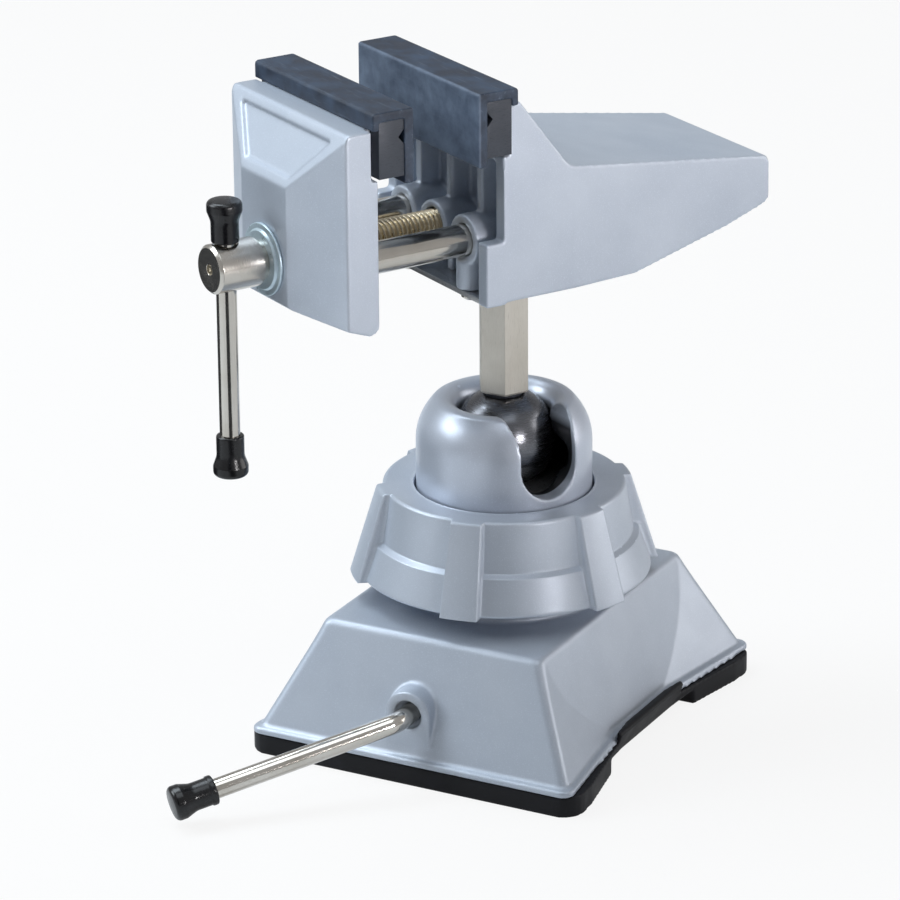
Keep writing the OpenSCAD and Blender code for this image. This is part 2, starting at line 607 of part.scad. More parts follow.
module rear_jaw_body() color([0.75, 0.8, 0.89]) in_head() difference() {
    union() {
        difference() {
            intersection() {
                across(head_w + 2) polygon(body_side());
                // taper of the tail in plan
                translate([0, 0, body_low - 1]) linear_extrude(body_top - body_low + 4) polygon([
                    [-head_w / 2, bay_front - 1], [head_w / 2, bay_front - 1], [head_w / 2, 4.5],
                    [tail_w / 2, tail_reach + 1], [-tail_w / 2, tail_reach + 1], [-head_w / 2, 4.5]]);
                // the sides lean in above the shoulder line
                translate([0, tail_reach + 5, 0]) rotate([90, 0, 0])
                    linear_extrude(tail_reach + rear_seat + 30) polygon([
                        [-head_w / 2, body_low - 1], [head_w / 2, body_low - 1],
                        [head_w / 2, screw_z + 21.5], [head_w / 2 - 1.2, body_top + 3],
                        [-head_w / 2 + 1.2, body_top + 3], [-head_w / 2, screw_z + 21.5]]);
            }
            // open bay between the side walls
            translate([-bay_half, bay_front - 1, body_low - 1])
                cube([2 * bay_half, bay_back - bay_front + 1, bay_top - body_low + 1]);
        }
        for (x = [rod_x[0], 0, rod_x[1]]) {
            // bosses round the rods and the screw, each with a web above
            translate([x, 0, screw_z]) bar_y(guide_boss_r, boss_front, bay_back + 1);
            translate([x - 1.5, bay_back - 7, screw_z + guide_boss_r - 2])
                cube([3, 8, bay_top - screw_z - guide_boss_r + 3]);
        }
        translate([-1.5, bay_back - 7, floor_z + floor_t]) cube([3, 8, body_drop - guide_boss_r]);
        for (x = rod_x) translate([x, pillar_y, floor_z + floor_t])
            cylinder(r = pillar_r, h = body_drop - guide_boss_r);
    }
    for (x = rod_x) translate([x, 0, screw_z]) bar_y(guide_d / 2 + running, boss_front - 1, rod_depth);
    // the screw's tunnel: lead-in, nut pocket, clearance behind
    translate([0, 0, screw_z]) {
        bar_y(screw_d / 2 + 0.6, boss_front - 1, nut_back - nut_len);
        bar_y(nut_r, nut_back - nut_len - eps, nut_back);
        bar_y(screw_d / 2 + 0.3, nut_back - eps, rod_depth);
    }
    // hexagonal socket for the stem
    translate([0, 0, body_low - 1]) rotate([0, 0, 30])
        cylinder(r = stem_corner_r + 0.03, h = stem_top + 0.1 - body_low + 1, $fn = 6);
    // recess for the floor plate and holes for its screws
    translate([-bay_half, bay_front - 1, body_low - 1])
        cube([2 * bay_half, floor_back + 0.3 - bay_front + 1, floor_z + floor_t - body_low + 1]);
    for (p = floor_screws) translate([p.x, p.y, floor_z]) cylinder(r = floor_screw_r, h = floor_screw_len);
    for (x = plate_screw_x) translate([x, 0, plate_screw_z])
        bar_y(plate_screw_r, -rear_seat - 1, plate_screw_len - rear_seat - jaw_plate_t + 0.4);
}

module bottom_plate() color([0.7, 0.7, 0.7]) in_head() difference() {
    translate([-bay_half + 0.4, bay_front + 0.5, floor_z])
        cube([2 * bay_half - 0.8, floor_back - bay_front - 0.5, floor_t]);
    translate([0, 0, floor_z - 1]) cylinder(r = stem_corner_r + 0.6, h = floor_t + 2);
    for (p = floor_screws) translate([p.x, p.y, floor_z - 1]) cylinder(r = floor_screw_r, h = floor_t + 2);
}

module bottom_plate_screws() {
    head_r = 3.1;
    head_h = 2.1;
    color([0.75, 0.74, 0.7]) in_head() for (p = floor_screws) translate([p.x, p.y, floor_z]) {
        cylinder(r = floor_screw_r, h = floor_screw_len - 0.3);
        mirror([0, 0, 1]) rotate_extrude() polygon(rounded([[0, 0, 0], [head_r, 0, 0],
            [head_r, head_h, 1.2], [0, head_h, 0]]));
    }
}

module lead_nut() color([0.72, 0.58, 0.32]) in_head() translate([0, 0, screw_z]) difference() {
    bar_y(nut_r, nut_back - nut_len, nut_back);
    bar_y(screw_d / 2 + running, nut_back - nut_len - 1, nut_back + 1);
}

// ---- Jaw plates and covers, drawn with the plate's back at y = 0 and the gripping side at -y -----

plate_half = jaw_w / 2 - 0.4;
module jaw_plate() difference() {
    across(2 * plate_half) polygon([[0, plate_low], [0, plate_high], [-jaw_plate_t, plate_high],
        [-jaw_plate_t, plate_high - 3.2], [-jaw_plate_t + vee_depth, plate_high - 3.2 - vee_depth * 1.15],
        [-jaw_plate_t, plate_high - 3.2 - vee_depth * 2.3], [-jaw_plate_t, plate_low]]);
    for (x = plate_screw_x) translate([x, 0, plate_screw_z]) {
        bar_y(plate_screw_r + 0.15, -jaw_plate_t - 1, 1);
        turned_y(-jaw_plate_t + 3) polygon([[0, 0], [plate_screw_r, 0], [plate_screw_r * 2 + 0.15, 3],
            [plate_screw_r * 2 + 0.15, 4], [0, 4]]);
    }
}

module plate_screws() for (x = plate_screw_x) translate([x, 0, plate_screw_z]) {
    bar_y(plate_screw_r, -jaw_plate_t + 1, plate_screw_len - jaw_plate_t);
    turned_y(-jaw_plate_t + 3) polygon([[0, 0], [plate_screw_r, 0], [plate_screw_r * 2, 2.9], [0, 2.9]]);
}

module jaw_cover() {
    back_lip = 2.2;
    leg_drop = 2.6;          // how far the gripping leg reaches below the plate
    across(jaw_w) polygon(rounded([[0, plate_high, 0], [0, body_top + slip, 0],
        [back_lip, body_top + slip, 0.5], [back_lip, plate_high + cover_top_t, 1],
        [-jaw_plate_t - cover_t, plate_high + cover_top_t, 0.8],
        [-jaw_plate_t - cover_t, plate_low - leg_drop, 0.6], [-jaw_plate_t, plate_low - leg_drop, 0.3],
        [-jaw_plate_t, plate_high, 0]]));
}

module at_rear_seat() in_head() translate([0, -rear_seat, 0]) children();
module rear_jaw_plate() color([0.3, 0.31, 0.32]) at_rear_seat() jaw_plate();
module rear_plate_screws() color([0.45, 0.45, 0.46]) at_rear_seat() plate_screws();
module rear_jaw_cover() color([0.2, 0.23, 0.3]) at_rear_seat() jaw_cover();

// The front set is the rear set turned about, across the gap
front_face = rear_face - jaw_gap;
front_seat = front_face - cover_t - jaw_plate_t;
module at_front_seat() in_head() translate([0, front_seat, 0]) mirror([0, 1, 0]) children();
module front_jaw_plate() color([0.3, 0.31, 0.32]) at_front_seat() jaw_plate();
module front_plate_screws() color([0.45, 0.45, 0.46]) at_front_seat() plate_screws();
module front_jaw_cover() color([0.2, 0.23, 0.3]) at_front_seat() jaw_cover();

// ---- Front jaw -----------------------------------------------------------------------------

nose_y = front_seat - nose_reach;
side_y = front_seat - nose_reach * 0.55;     // where the side faces end and the slanted ones start
jaw_low = body_low - 0.5;
nose_low = jaw_low + 5.8;
brow_z = screw_z + 25.8;                     // foot of the sloping top panel
brow_top_y = nose_y + 9.9;                   // top edge of the sloping panel
rod_front = front_seat - nose_reach + 6;     // front ends of the guide rods

module front_jaw_shape(inset) {
    top = body_top + slip - inset;
    heel_r = inset > 0 ? 0 : 2.8;        // only the outside's lower rear edge is rounded
    intersection() {
        translate([0, 0, jaw_low - 1]) linear_extrude(top - jaw_low + 2) polygon(rounded([
            [head_w / 2 - inset, front_seat + 1, 0], [head_w / 2 - inset, side_y + inset / 2, 1],
            [nose_half_w - inset / 2, nose_y + inset, 1.5], [-nose_half_w + inset / 2, nose_y + inset, 1.5],
            [-head_w / 2 + inset, side_y + inset / 2, 1], [-head_w / 2 + inset, front_seat + 1, 0]]));
        across(head_w + 2) polygon(rounded([[front_seat, jaw_low + inset, heel_r],
            [front_seat - 4, jaw_low + inset, 0], [nose_y + inset, nose_low + inset, 2],
            [nose_y + inset, brow_z - inset * 0.6, 1.2], [brow_top_y + inset, top, 1.2],
            [front_seat, top, 0]]));
    }
}

module front_jaw() {
    boss_r = guide_boss_r + 0.6;
    panel_in = 0.9;              // depth of the recessed panel
    border = 3.4;
    lean = atan2(brow_top_y - nose_y, body_top - brow_z);
    panel_h = norm([brow_top_y - nose_y, body_top - brow_z]);
    color([0.75, 0.8, 0.89]) in_head() difference() {
        union() {
            difference() {
                front_jaw_shape(0);
                // hollow behind, below the plate
                intersection() {
                    translate([0, eps, 0]) front_jaw_shape(jaw_wall);
                    translate([-head_w, nose_y, jaw_low])
                        cube([2 * head_w, nose_reach + 1, plate_low - 3.6 - jaw_low]);
                }
            }
            intersection() {
                front_jaw_shape(0);
                for (x = [rod_x[0], 0, rod_x[1]]) translate([x, 0, screw_z]) {
                    bar_y(boss_r, nose_y, front_seat);
                    translate([-1.5, nose_y, -head_rise / 2]) cube([3, nose_reach - 3, head_rise]);
                }
            }
        }
        for (x = rod_x) translate([x, 0, screw_z]) bar_y(guide_d / 2, rod_front, front_seat + 1);
        translate([0, 0, screw_z]) bar_y(screw_d / 2 + running, nose_y - 1, front_seat + 1);
        // relief behind the plate's ends
        for (s = [-1, 1]) translate([s * (head_w / 2 - 1.5) - 2.5, front_seat - 2.2, plate_low - 0.5])
            cube([5, 3, body_top - plate_low + 2]);
        // recessed panel on the sloping top
        translate([0, nose_y, brow_z]) rotate([90 - lean, 0, 0]) translate([0, 0, -panel_in])
            linear_extrude(5) polygon([[-nose_half_w + 0.3, border], [nose_half_w - 0.3, border],
                [head_w / 2 - 7.5, panel_h - border], [-head_w / 2 + 7.5, panel_h - border]]);
        for (x = plate_screw_x) translate([x, 0, plate_screw_z])
            bar_y(plate_screw_r, front_seat - plate_screw_len + jaw_plate_t - 0.4, front_seat + 1);
    }
}

module guide_rod(x) color([0.85, 0.83, 0.79]) in_head() translate([x, 0, screw_z]) {
    bar_y(guide_d / 2, rod_front, rod_front + guide_len - 1);
    translate([0, rod_front + guide_len - 1, 0]) rotate([-90, 0, 0])
        cylinder(r1 = guide_d / 2, r2 = guide_d / 2 - 0.8, h = 1);
}
module guide_rod_left() guide_rod(rod_x[0]);
module guide_rod_right() guide_rod(rod_x[1]);

// ---- Screw and handle ----------------------------------------------------------------------

washer_t = 1.7;
washer_gap = 0.1;
hub_back = nose_y - washer_gap - washer_t;
hub_front = hub_back - hub_len;
hub_r = hub_d / 2;
tang_r = screw_d * 0.4;
tang_len = 5;
groove_r = screw_d / 2 - 0.8;
clip_front = front_seat + seat_gap;
handle_y = hub_front + 5.8;
bar_r = bar_d / 2;
handle_top = screw_z + hub_r + slip + cap_len;

module lead_screw() {
    screw_end = rod_front + guide_len;
    color([0.72, 0.62, 0.42]) in_head() translate([0, 0, screw_z]) {
        bar_y(tang_r, hub_back - tang_len, hub_back + eps);
        bar_y(screw_d / 2, hub_back, clip_front);
        bar_y(groove_r, clip_front - eps, clip_front + 1.1);
        bar_y(screw_d / 2, clip_front + 1.1 - eps, screw_end - 1);
        translate([0, screw_end - 1 - eps, 0]) rotate([-90, 0, 0])
            cylinder(r1 = screw_d / 2, r2 = screw_d / 2 - 0.8, h = 1);
    }
}

module screw_hub() color([0.84, 0.82, 0.78]) in_head() difference() {
    translate([0, 0, screw_z]) turned_y(hub_back) polygon(rounded([[0, 0, 0], [hub_r, 0, 0.4],
        [hub_r, hub_len, 1], [0, hub_len, 0]]));
    translate([0, 0, screw_z]) bar_y(tang_r, hub_back - tang_len, hub_back + 1);
    // cross bore for the bar
    translate([0, handle_y, screw_z - hub_r - 1]) cylinder(r = bar_r + running, h = hub_d + 2);
    // centre mark in the front face
    translate([0, 0, screw_z]) turned_y(hub_front + 1.6) polygon([[0, 0], [1.7, 1.7], [0, 1.7]]);
}

module thrust_washer() color([0.7, 0.73, 0.76]) in_head() translate([0, 0, screw_z]) difference() {
    union() {
        bar_y(washer_r, hub_back + washer_t / 2, hub_back + washer_t);
        bar_y(washer_r - 1.8, hub_back, hub_back + washer_t / 2 + eps);
    }
    bar_y(screw_d / 2 + 0.1, hub_back - 1, hub_back + washer_t + 1);
}

module screw_clip() color([0.35, 0.35, 0.37]) in_head() translate([0, clip_front + 0.05, screw_z])
    rotate([-90, 0, 0]) difference() {
        cylinder(r = groove_r + 3.4, h = 1);
        translate([0, 0, -1]) cylinder(r = groove_r, h = 3);
        translate([-groove_r * 0.8, 0, -1]) cube([groove_r * 1.6, groove_r * 3, 3]);
    }

module handle_bar() color([0.84, 0.82, 0.78]) in_head()
    translate([0, handle_y, handle_top - handle_len + 1.5]) cylinder(r = bar_r, h = handle_len - 3);

// A soft cap: its neck at z = 0, its flared end at z = length
module handle_cap() {
    neck = bar_r + 1.05;
    flare = bar_r + 2.3;
    difference() {
        rotate_extrude() polygon(rounded([[0, 0, 0], [neck, 0, 0.5], [neck, cap_len * 0.45, 8],
            [flare, cap_len * 0.78, 1.2], [flare, cap_len, 1.4], [0, cap_len, 0]]));
        translate([0, 0, -eps]) cylinder(r = bar_r, h = cap_len - 1.5 + eps);
    }
}
module handle_cap_top() color([0.06, 0.06, 0.07]) in_head()
    translate([0, handle_y, handle_top - cap_len]) handle_cap();
module handle_cap_bottom() color([0.06, 0.06, 0.07]) in_head()
    translate([0, handle_y, handle_top - handle_len + cap_len]) rotate([180, 0, 0]) handle_cap();

base_housing();
suction_pad();
pad_plate();
pull_yoke();
vacuum_lever();
lever_tip();
lever_cam();
cam_pin();
lever_clip();
ball_seat();
lock_ring();
clamp_dome();
ball();
hex_stem();
rear_jaw_body();
bottom_plate();
bottom_plate_screws();
lead_nut();
rear_jaw_plate();
rear_plate_screws();
rear_jaw_cover();
front_jaw();
guide_rod_left();
guide_rod_right();
front_jaw_plate();
front_plate_screws();
front_jaw_cover();
lead_screw();
screw_hub();
thrust_washer();
screw_clip();
handle_bar();
handle_cap_top();
handle_cap_bottom();
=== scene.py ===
# %% [markdown]
# # A suction base vise
# The solids of the vise come in ready made: every piece is at its real size and rides on the body that
# carries it. This notebook gives them their looks. Castings get soft edges, turned parts get fine
# circles, the screw gets its thread and everything gets a finish. Nothing here moves or resizes a solid.

import json
from math import atan2, cos, degrees, hypot, pi, radians, sin, tan

import bmesh
import bpy
import numpy as np
from mathutils import Matrix, Vector


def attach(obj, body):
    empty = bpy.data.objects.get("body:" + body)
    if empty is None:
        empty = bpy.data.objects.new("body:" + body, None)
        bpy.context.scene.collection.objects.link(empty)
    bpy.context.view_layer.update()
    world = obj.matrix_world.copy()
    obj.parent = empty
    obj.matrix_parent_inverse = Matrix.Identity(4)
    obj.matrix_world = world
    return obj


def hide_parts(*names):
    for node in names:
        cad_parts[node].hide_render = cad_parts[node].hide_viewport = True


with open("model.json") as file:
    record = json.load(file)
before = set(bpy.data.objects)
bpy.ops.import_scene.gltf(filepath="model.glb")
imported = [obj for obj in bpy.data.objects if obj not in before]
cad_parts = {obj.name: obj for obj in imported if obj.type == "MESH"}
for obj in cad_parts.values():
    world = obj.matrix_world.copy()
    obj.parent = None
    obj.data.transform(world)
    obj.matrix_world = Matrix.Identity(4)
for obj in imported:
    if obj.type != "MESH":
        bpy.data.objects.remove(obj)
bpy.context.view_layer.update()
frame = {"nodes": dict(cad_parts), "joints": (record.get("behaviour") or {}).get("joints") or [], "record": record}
nodes = frame["nodes"]
body_of = {node: body for body, held in frame["record"]["behaviour"]["bodies"].items() for node in held}
MM = 0.001
print("pieces in the frame:", len(nodes))

# %% [markdown]
# ## Two frames
# The base stands square to the bench, but the head is turned on its stem. Pieces of the head are easier
# to describe in the head's own frame, where x runs across the jaws and y along the screw. The jaw's
# sliding axis tells how far the head is turned, so that no angle has to be copied by hand.

# %% The head's frame
slide = next(joint for joint in frame["joints"] if joint["name"] == "jaw_slide")
head_turn = atan2(-slide["axis"][0], slide["axis"][1])
WORLD = Matrix.Identity(4)
HEAD = Matrix.Rotation(head_turn, 4, "Z")


def reach(node, turned=WORLD):
    """Lowest and highest corner of a solid in millimetres, seen in a turned frame."""
    back = np.array(turned.inverted().to_3x3())
    points = np.array([v.co for v in nodes[node].data.vertices]) @ back.T / MM
    return points.min(0), points.max(0)


screw_low, screw_high = reach("lead_screw", HEAD)
screw_z = (screw_low[2] + screw_high[2]) / 2
ball_z = next(joint for joint in frame["joints"] if joint["name"] == "ball_tilt")["pos_m"][2] / MM
print(f"the head is turned by {degrees(head_turn):.0f} degrees, its screw is {screw_z:.1f} mm up")

# %% [markdown]
# ## Camera
# The picture was taken from above the left front corner with a long lens. These values were found by
# fitting a pinhole camera to the vise's own edges, so the render can be laid over the photograph.

# %% Camera
AZIMUTH, ELEVATION, ROLL = radians(27.986), radians(20.891), radians(-0.463)
DISTANCE = 1499.16          # mm from the aim point
AIM_SIDE, AIM_UP = -17.198, 89.791
FOCAL_PIXELS, PICTURE_PIXELS = 4713.56, 900

back = Vector((sin(AZIMUTH) * cos(ELEVATION), -cos(AZIMUTH) * cos(ELEVATION), sin(ELEVATION)))
right = Vector((cos(AZIMUTH), sin(AZIMUTH), 0))
up = back.cross(right)
aim = right * AIM_SIDE + Vector((0, 0, AIM_UP))
tilted_right = right * cos(ROLL) + up * sin(ROLL)
tilted_up = up * cos(ROLL) - right * sin(ROLL)
camera_data = bpy.data.cameras.new("camera")
camera_data.sensor_width = 36
camera_data.lens = FOCAL_PIXELS / PICTURE_PIXELS * camera_data.sensor_width
camera_data.clip_start, camera_data.clip_end = 0.1, 20
camera = bpy.data.objects.new("camera", camera_data)
bpy.context.collection.objects.link(camera)
turn = Matrix((tilted_right, tilted_up, back)).transposed().to_4x4()
camera.matrix_world = Matrix.Translation((aim + back * DISTANCE) * MM) @ turn
bpy.context.scene.camera = camera
print(f"lens {camera_data.lens:.0f} mm")

# %% [markdown]
# ## Building node trees
# Materials and Geometry Nodes are both graphs. One small helper adds a node, sets its properties and
# either writes a value into each input or links another node's output to it. With it, a tree reads
# like a list of steps.


# %% Node tree helpers
def add(tree, kind, inputs=(), **properties):
    """Adds a node. A value that is a socket is linked, any other is written into the input."""
    node = tree.nodes.new(kind)
    for name, value in properties.items():
        setattr(node, name, value)
    for key, value in dict(inputs).items():
        if isinstance(value, bpy.types.NodeSocket):
            tree.links.new(value, node.inputs[key])
        else:
            node.inputs[key].default_value = value
    return node


def maths(tree, operation, *values):
    kind = "ShaderNodeMath"
    return add(tree, kind, dict(enumerate(values)), operation=operation).outputs[0]


def remap(tree, value, low, high, to_low, to_high):
    sockets = {"Value": value, "From Min": low, "From Max": high, "To Min": to_low, "To Max": to_high}
    return add(tree, "ShaderNodeMapRange", sockets).outputs[0]


# %% [markdown]
# ## Finishes
# A finish is more than a colour. Paint on a casting has a faint orange-peel skin and cloudy tone,
# drawn rod has scratches along its length, a turned face has circles, rubber picks up dust. All the
# patterns are noise read at Object coordinates, in real sizes, so they stay put when a joint moves.


# %% Pattern helpers
def new_finish(name, **values):
    """A material whose plain values are set on the Principled shader's own sockets."""
    material = bpy.data.materials.new(name)
    material.use_nodes = True
    shader = material.node_tree.nodes["Principled BSDF"]
    for socket, value in values.items():
        shader.inputs[socket.replace("_", " ")].default_value = value
    return material, material.node_tree, shader


def grain(tree, size_mm, stretch=(1, 1, 1), turned=0.0, detail=3.0, rough=0.5):
    """Noise from 0 to 1 whose blotches are about size_mm across, drawn out by stretch."""
    place = add(tree, "ShaderNodeTexCoord").outputs["Object"]
    unturn = add(tree, "ShaderNodeMapping", {"Vector": place, "Rotation": (0, 0, -turned)})
    scale = add(tree, "ShaderNodeMapping", {
        "Vector": unturn.outputs[0],
        "Scale": tuple(1 / (size_mm * MM * s) for s in stretch)})
    settings = {"Vector": scale.outputs[0], "Scale": 1.0, "Detail": detail, "Roughness": rough}
    return add(tree, "ShaderNodeTexNoise", settings).outputs["Fac"]


def two_tones(tree, amount, first, second, low=0.35, high=0.65):
    """Colour that goes from the first to the second as amount goes from low to high."""
    share = remap(tree, amount, low, high, 0.0, 1.0)
    mix = add(tree, "ShaderNodeMix", data_type="RGBA")
    tree.links.new(share, mix.inputs["Factor"])
    for index, tone in ((6, first), (7, second)):
        if isinstance(tone, bpy.types.NodeSocket):
            tree.links.new(tone, mix.inputs[index])
        else:
            mix.inputs[index].default_value = (*tone, 1)
    return mix.outputs[2]


def relief(tree, shader, *layers):
    """Stacks bumps: each layer is (height from 0 to 1, depth in mm)."""
    normal = None
    for height, depth in layers:
        bump = add(tree, "ShaderNodeBump", {"Height": height, "Distance": depth * MM, "Strength": 1.0})
        if normal is not None:
            tree.links.new(normal, bump.inputs["Normal"])
        normal = bump.outputs[0]
    tree.links.new(normal, shader.inputs["Normal"])


def paint(tree, shader, colour, roughness=None):
    tree.links.new(colour, shader.inputs["Base Color"])
    if roughness is not None:
        tree.links.new(roughness, shader.inputs["Roughness"])


# %% [markdown]
# ### Silver enamel
# The castings are die-cast aluminium under a bluish silver enamel. Metal flake in the paint makes it
# half metallic: it takes broad soft reflections, and a painted highlight lightens its colour along
# rounded edges. Two noises cloud the tone, and a very shallow bump gives the orange peel. The dome is
# rubbed smoother than the rest, and its inside round the ball is painted near black as shade. It is the
# same casting, so it keeps its one material: a distance from the ball's centre tells inside from
# outside, as a second material on hand-picked faces would.


# %% Silver enamel
def silver_enamel(name, light, shade, roughness, metallic, peel_mm):
    material, tree, shader = new_finish(
        name, Metallic=metallic, Coat_Weight=0.08, Coat_Roughness=0.3, Specular_IOR_Level=0.4)
    cloud = grain(tree, 26, detail=4)
    flake = grain(tree, 0.35, detail=2)
    tone = two_tones(tree, cloud, light, shade, 0.3, 0.7)
    speck = two_tones(tree, flake, tone, tuple(c * 1.12 for c in light), 0.55, 0.8)
    # Painted highlight: the colour is lightened along convex rounded edges, found by Pointiness.
    bend = add(tree, "ShaderNodeNewGeometry").outputs["Pointiness"]
    edge_highlighted = two_tones(tree, bend, speck, tuple(min(1, c * 1.35) for c in light), 0.54, 0.62)
    paint(tree, shader, edge_highlighted, remap(tree, cloud, 0.3, 0.7, roughness - 0.04, roughness + 0.05))
    relief(tree, shader, (grain(tree, 1.1, detail=2), peel_mm), (flake, peel_mm * 0.35))
    return material


cast_enamel = silver_enamel("cast_enamel", (0.54, 0.585, 0.66), (0.47, 0.515, 0.59), 0.42, 0.35, 0.02)
ring_enamel = silver_enamel("ring_enamel", (0.56, 0.605, 0.68), (0.49, 0.535, 0.61), 0.40, 0.35, 0.02)
dome_enamel = silver_enamel("dome_enamel", (0.57, 0.61, 0.69), (0.51, 0.55, 0.63), 0.34, 0.42, 0.01)


# Painted shade for the dome's inside: a near-black tone, its reach from the ball's centre and its top above it.
PAINTED_SHADE, SHADE_R, SHADE_TOP = (0.022, 0.024, 0.028), 26.3, 10.0


def shaded_inside(material, centre_z):
    """Paints shade into the enamel inside the dome: within a radius of the ball's centre, up to a height above it.
    """
    tree = material.node_tree
    shader = tree.nodes["Principled BSDF"]
    place = add(tree, "ShaderNodeTexCoord").outputs["Object"]
    from_ball = add(tree, "ShaderNodeVectorMath", {0: place, 1: (0, 0, centre_z * MM)},
                    operation="SUBTRACT").outputs[0]
    away = add(tree, "ShaderNodeVectorMath", {0: from_ball}, operation="LENGTH").outputs["Value"]
    height = add(tree, "ShaderNodeSeparateXYZ", {0: from_ball}).outputs["Z"]
    inside = remap(tree, away, (SHADE_R - 0.5) * MM, SHADE_R * MM, 1.0, 0.0)
    low = remap(tree, height, (SHADE_TOP - 3) * MM, SHADE_TOP * MM, 1.0, 0.0)
    # Mask of the painted shade: inside the radius and below the top.
    shade_mask = maths(tree, "MULTIPLY", inside, low)
    silver = shader.inputs["Base Color"].links[0].from_socket
    paint(tree, shader, two_tones(tree, shade_mask, silver, PAINTED_SHADE, 0.0, 1.0))


# Painted shade inside the dome round the ball.
shaded_inside(dome_enamel, ball_z)

# %% [markdown]
# ### Rubber
# Three rubbers: the pad and the caps are moulded black with a soft shine, and the jaw covers are a
# navy black that handling has dusted and scuffed. The rear cover's gripping face is drawn lighter: a
# band is laid on by its distance from that face, where a painted mask would need a picture.


# %% Rubber
def moulded_rubber(name, tone, roughness, grain_mm, shine):
    material, tree, shader = new_finish(name, Specular_IOR_Level=shine)
    smudge = grain(tree, 9, detail=4)
    paint(tree, shader, two_tones(tree, smudge, tone, tuple(c * 1.7 + 0.003 for c in tone), 0.45, 0.75),
          remap(tree, smudge, 0.3, 0.75, roughness, roughness + 0.16))
    relief(tree, shader, (grain(tree, grain_mm, detail=3), 0.02))
    return material


def dusty_rubber():
    material, tree, shader = new_finish("dusty_cover_rubber", Specular_IOR_Level=0.45)
    cloud = grain(tree, 7, detail=6, rough=0.6)
    scuff = grain(tree, 1.1, (9, 1, 1), turned=head_turn, detail=4)
    place = add(tree, "ShaderNodeTexCoord").outputs["Object"]
    unturn = add(tree, "ShaderNodeMapping", {"Vector": place, "Rotation": (0, 0, -head_turn)})
    along = add(tree, "ShaderNodeSeparateXYZ", {0: unturn.outputs[0]}).outputs["Y"]
    # A lighter band on the rear cover's gripping face, laid on by the distance from that face.
    grip_face = reach("rear_jaw_cover", HEAD)[0][1] * MM
    off_face = maths(tree, "ABSOLUTE", maths(tree, "SUBTRACT", along, grip_face))
    near_grip_face = remap(tree, off_face, 0.0003, 0.0009, 1.0, 0.0)
    bare = two_tones(tree, cloud, (0.014, 0.022, 0.040), (0.052, 0.078, 0.125), 0.38, 0.78)
    lighter_face_tone = two_tones(tree, cloud, (0.075, 0.10, 0.15), (0.17, 0.22, 0.30), 0.3, 0.75)
    with_lighter_face = two_tones(tree, near_grip_face, bare, lighter_face_tone, 0.0, 1.0)
    dusted = two_tones(tree, scuff, with_lighter_face, (0.15, 0.19, 0.25), 0.6, 1.0)
    paint(tree, shader, dusted, remap(tree, cloud, 0.3, 0.7, 0.42, 0.62))
    relief(tree, shader, (cloud, 0.03), (scuff, 0.012))
    return material


black_rubber = moulded_rubber("pad_rubber", (0.005, 0.005, 0.007), 0.40, 0.5, shine=0.22)
cap_rubber = moulded_rubber("cap_rubber", (0.003, 0.003, 0.004), 0.18, 0.3, shine=0.45)
cover_rubber = dusty_rubber()

# %% [markdown]
# ### Metals
# Bare metal shows its surroundings, so its finish is all in the scratches: along the length on drawn
# rod, round the axis on turned work, in both directions on plate. Each is one noise stretched along
# the tool's path. The yellow tint of old nickel plate keeps the rods warmer than the paint.


# %% Metals
def scratched_metal(name, tone, dull_tone, roughness, stretch, turned=0.0, line_mm=0.25, depth=0.004,
                    metallic=1.0):
    material, tree, shader = new_finish(name, Metallic=metallic)
    lines = grain(tree, line_mm, stretch, turned, detail=4, rough=0.6)
    stain = grain(tree, 14, detail=4)
    base = two_tones(tree, stain, tone, dull_tone, 0.35, 0.8)
    paint(tree, shader, two_tones(tree, lines, base, tuple(c * 0.72 for c in dull_tone), 0.55, 0.95),
          remap(tree, lines, 0.3, 0.8, roughness * 0.7, roughness * 1.5))
    relief(tree, shader, (lines, depth))
    return material


NICKEL, DULL_NICKEL = (0.62, 0.59, 0.545), (0.50, 0.465, 0.41)
along_screw = (1, 40, 1)
nickel_rod = scratched_metal("nickel_rod", NICKEL, DULL_NICKEL, 0.16, along_screw, head_turn)
nickel_bar = scratched_metal("nickel_bar", NICKEL, DULL_NICKEL, 0.13, (1, 1, 40))
nickel_lever = scratched_metal("nickel_lever", NICKEL, DULL_NICKEL, 0.14, (3, 3, 3))
nickel_hub = scratched_metal("nickel_hub", NICKEL, DULL_NICKEL, 0.22, (12, 0.6, 12), head_turn)
zinc_washer = scratched_metal("zinc_washer", (0.62, 0.74, 0.80), (0.50, 0.61, 0.69), 0.36, (8, 1, 8),
                              head_turn, depth=0.001, metallic=0.6)
stem_steel = scratched_metal("stem_steel", (0.60, 0.565, 0.505), (0.52, 0.485, 0.425), 0.42, (1, 1, 14),
                             metallic=0.6)
ball_steel = scratched_metal(
    "ball_steel", (0.16, 0.165, 0.18), (0.10, 0.10, 0.112), 0.26, (14, 14, 0.8), line_mm=0.5, depth=0.02)
thread_steel = scratched_metal("thread_steel", (0.66, 0.57, 0.42), (0.44, 0.37, 0.26), 0.30, (6, 1, 6),
                               head_turn, line_mm=0.8, depth=0.001)
zinc_steel = scratched_metal("zinc_steel", (0.60, 0.61, 0.62), (0.48, 0.48, 0.49), 0.34, (6, 1, 1))
dark_steel = scratched_metal("dark_steel", (0.050, 0.056, 0.070), (0.036, 0.041, 0.052), 0.5, (1, 6, 1),
                             head_turn, depth=0.001, metallic=0.3)
plain_brass = scratched_metal("plain_brass", (0.66, 0.50, 0.24), (0.52, 0.38, 0.16), 0.28, (5, 1, 5))

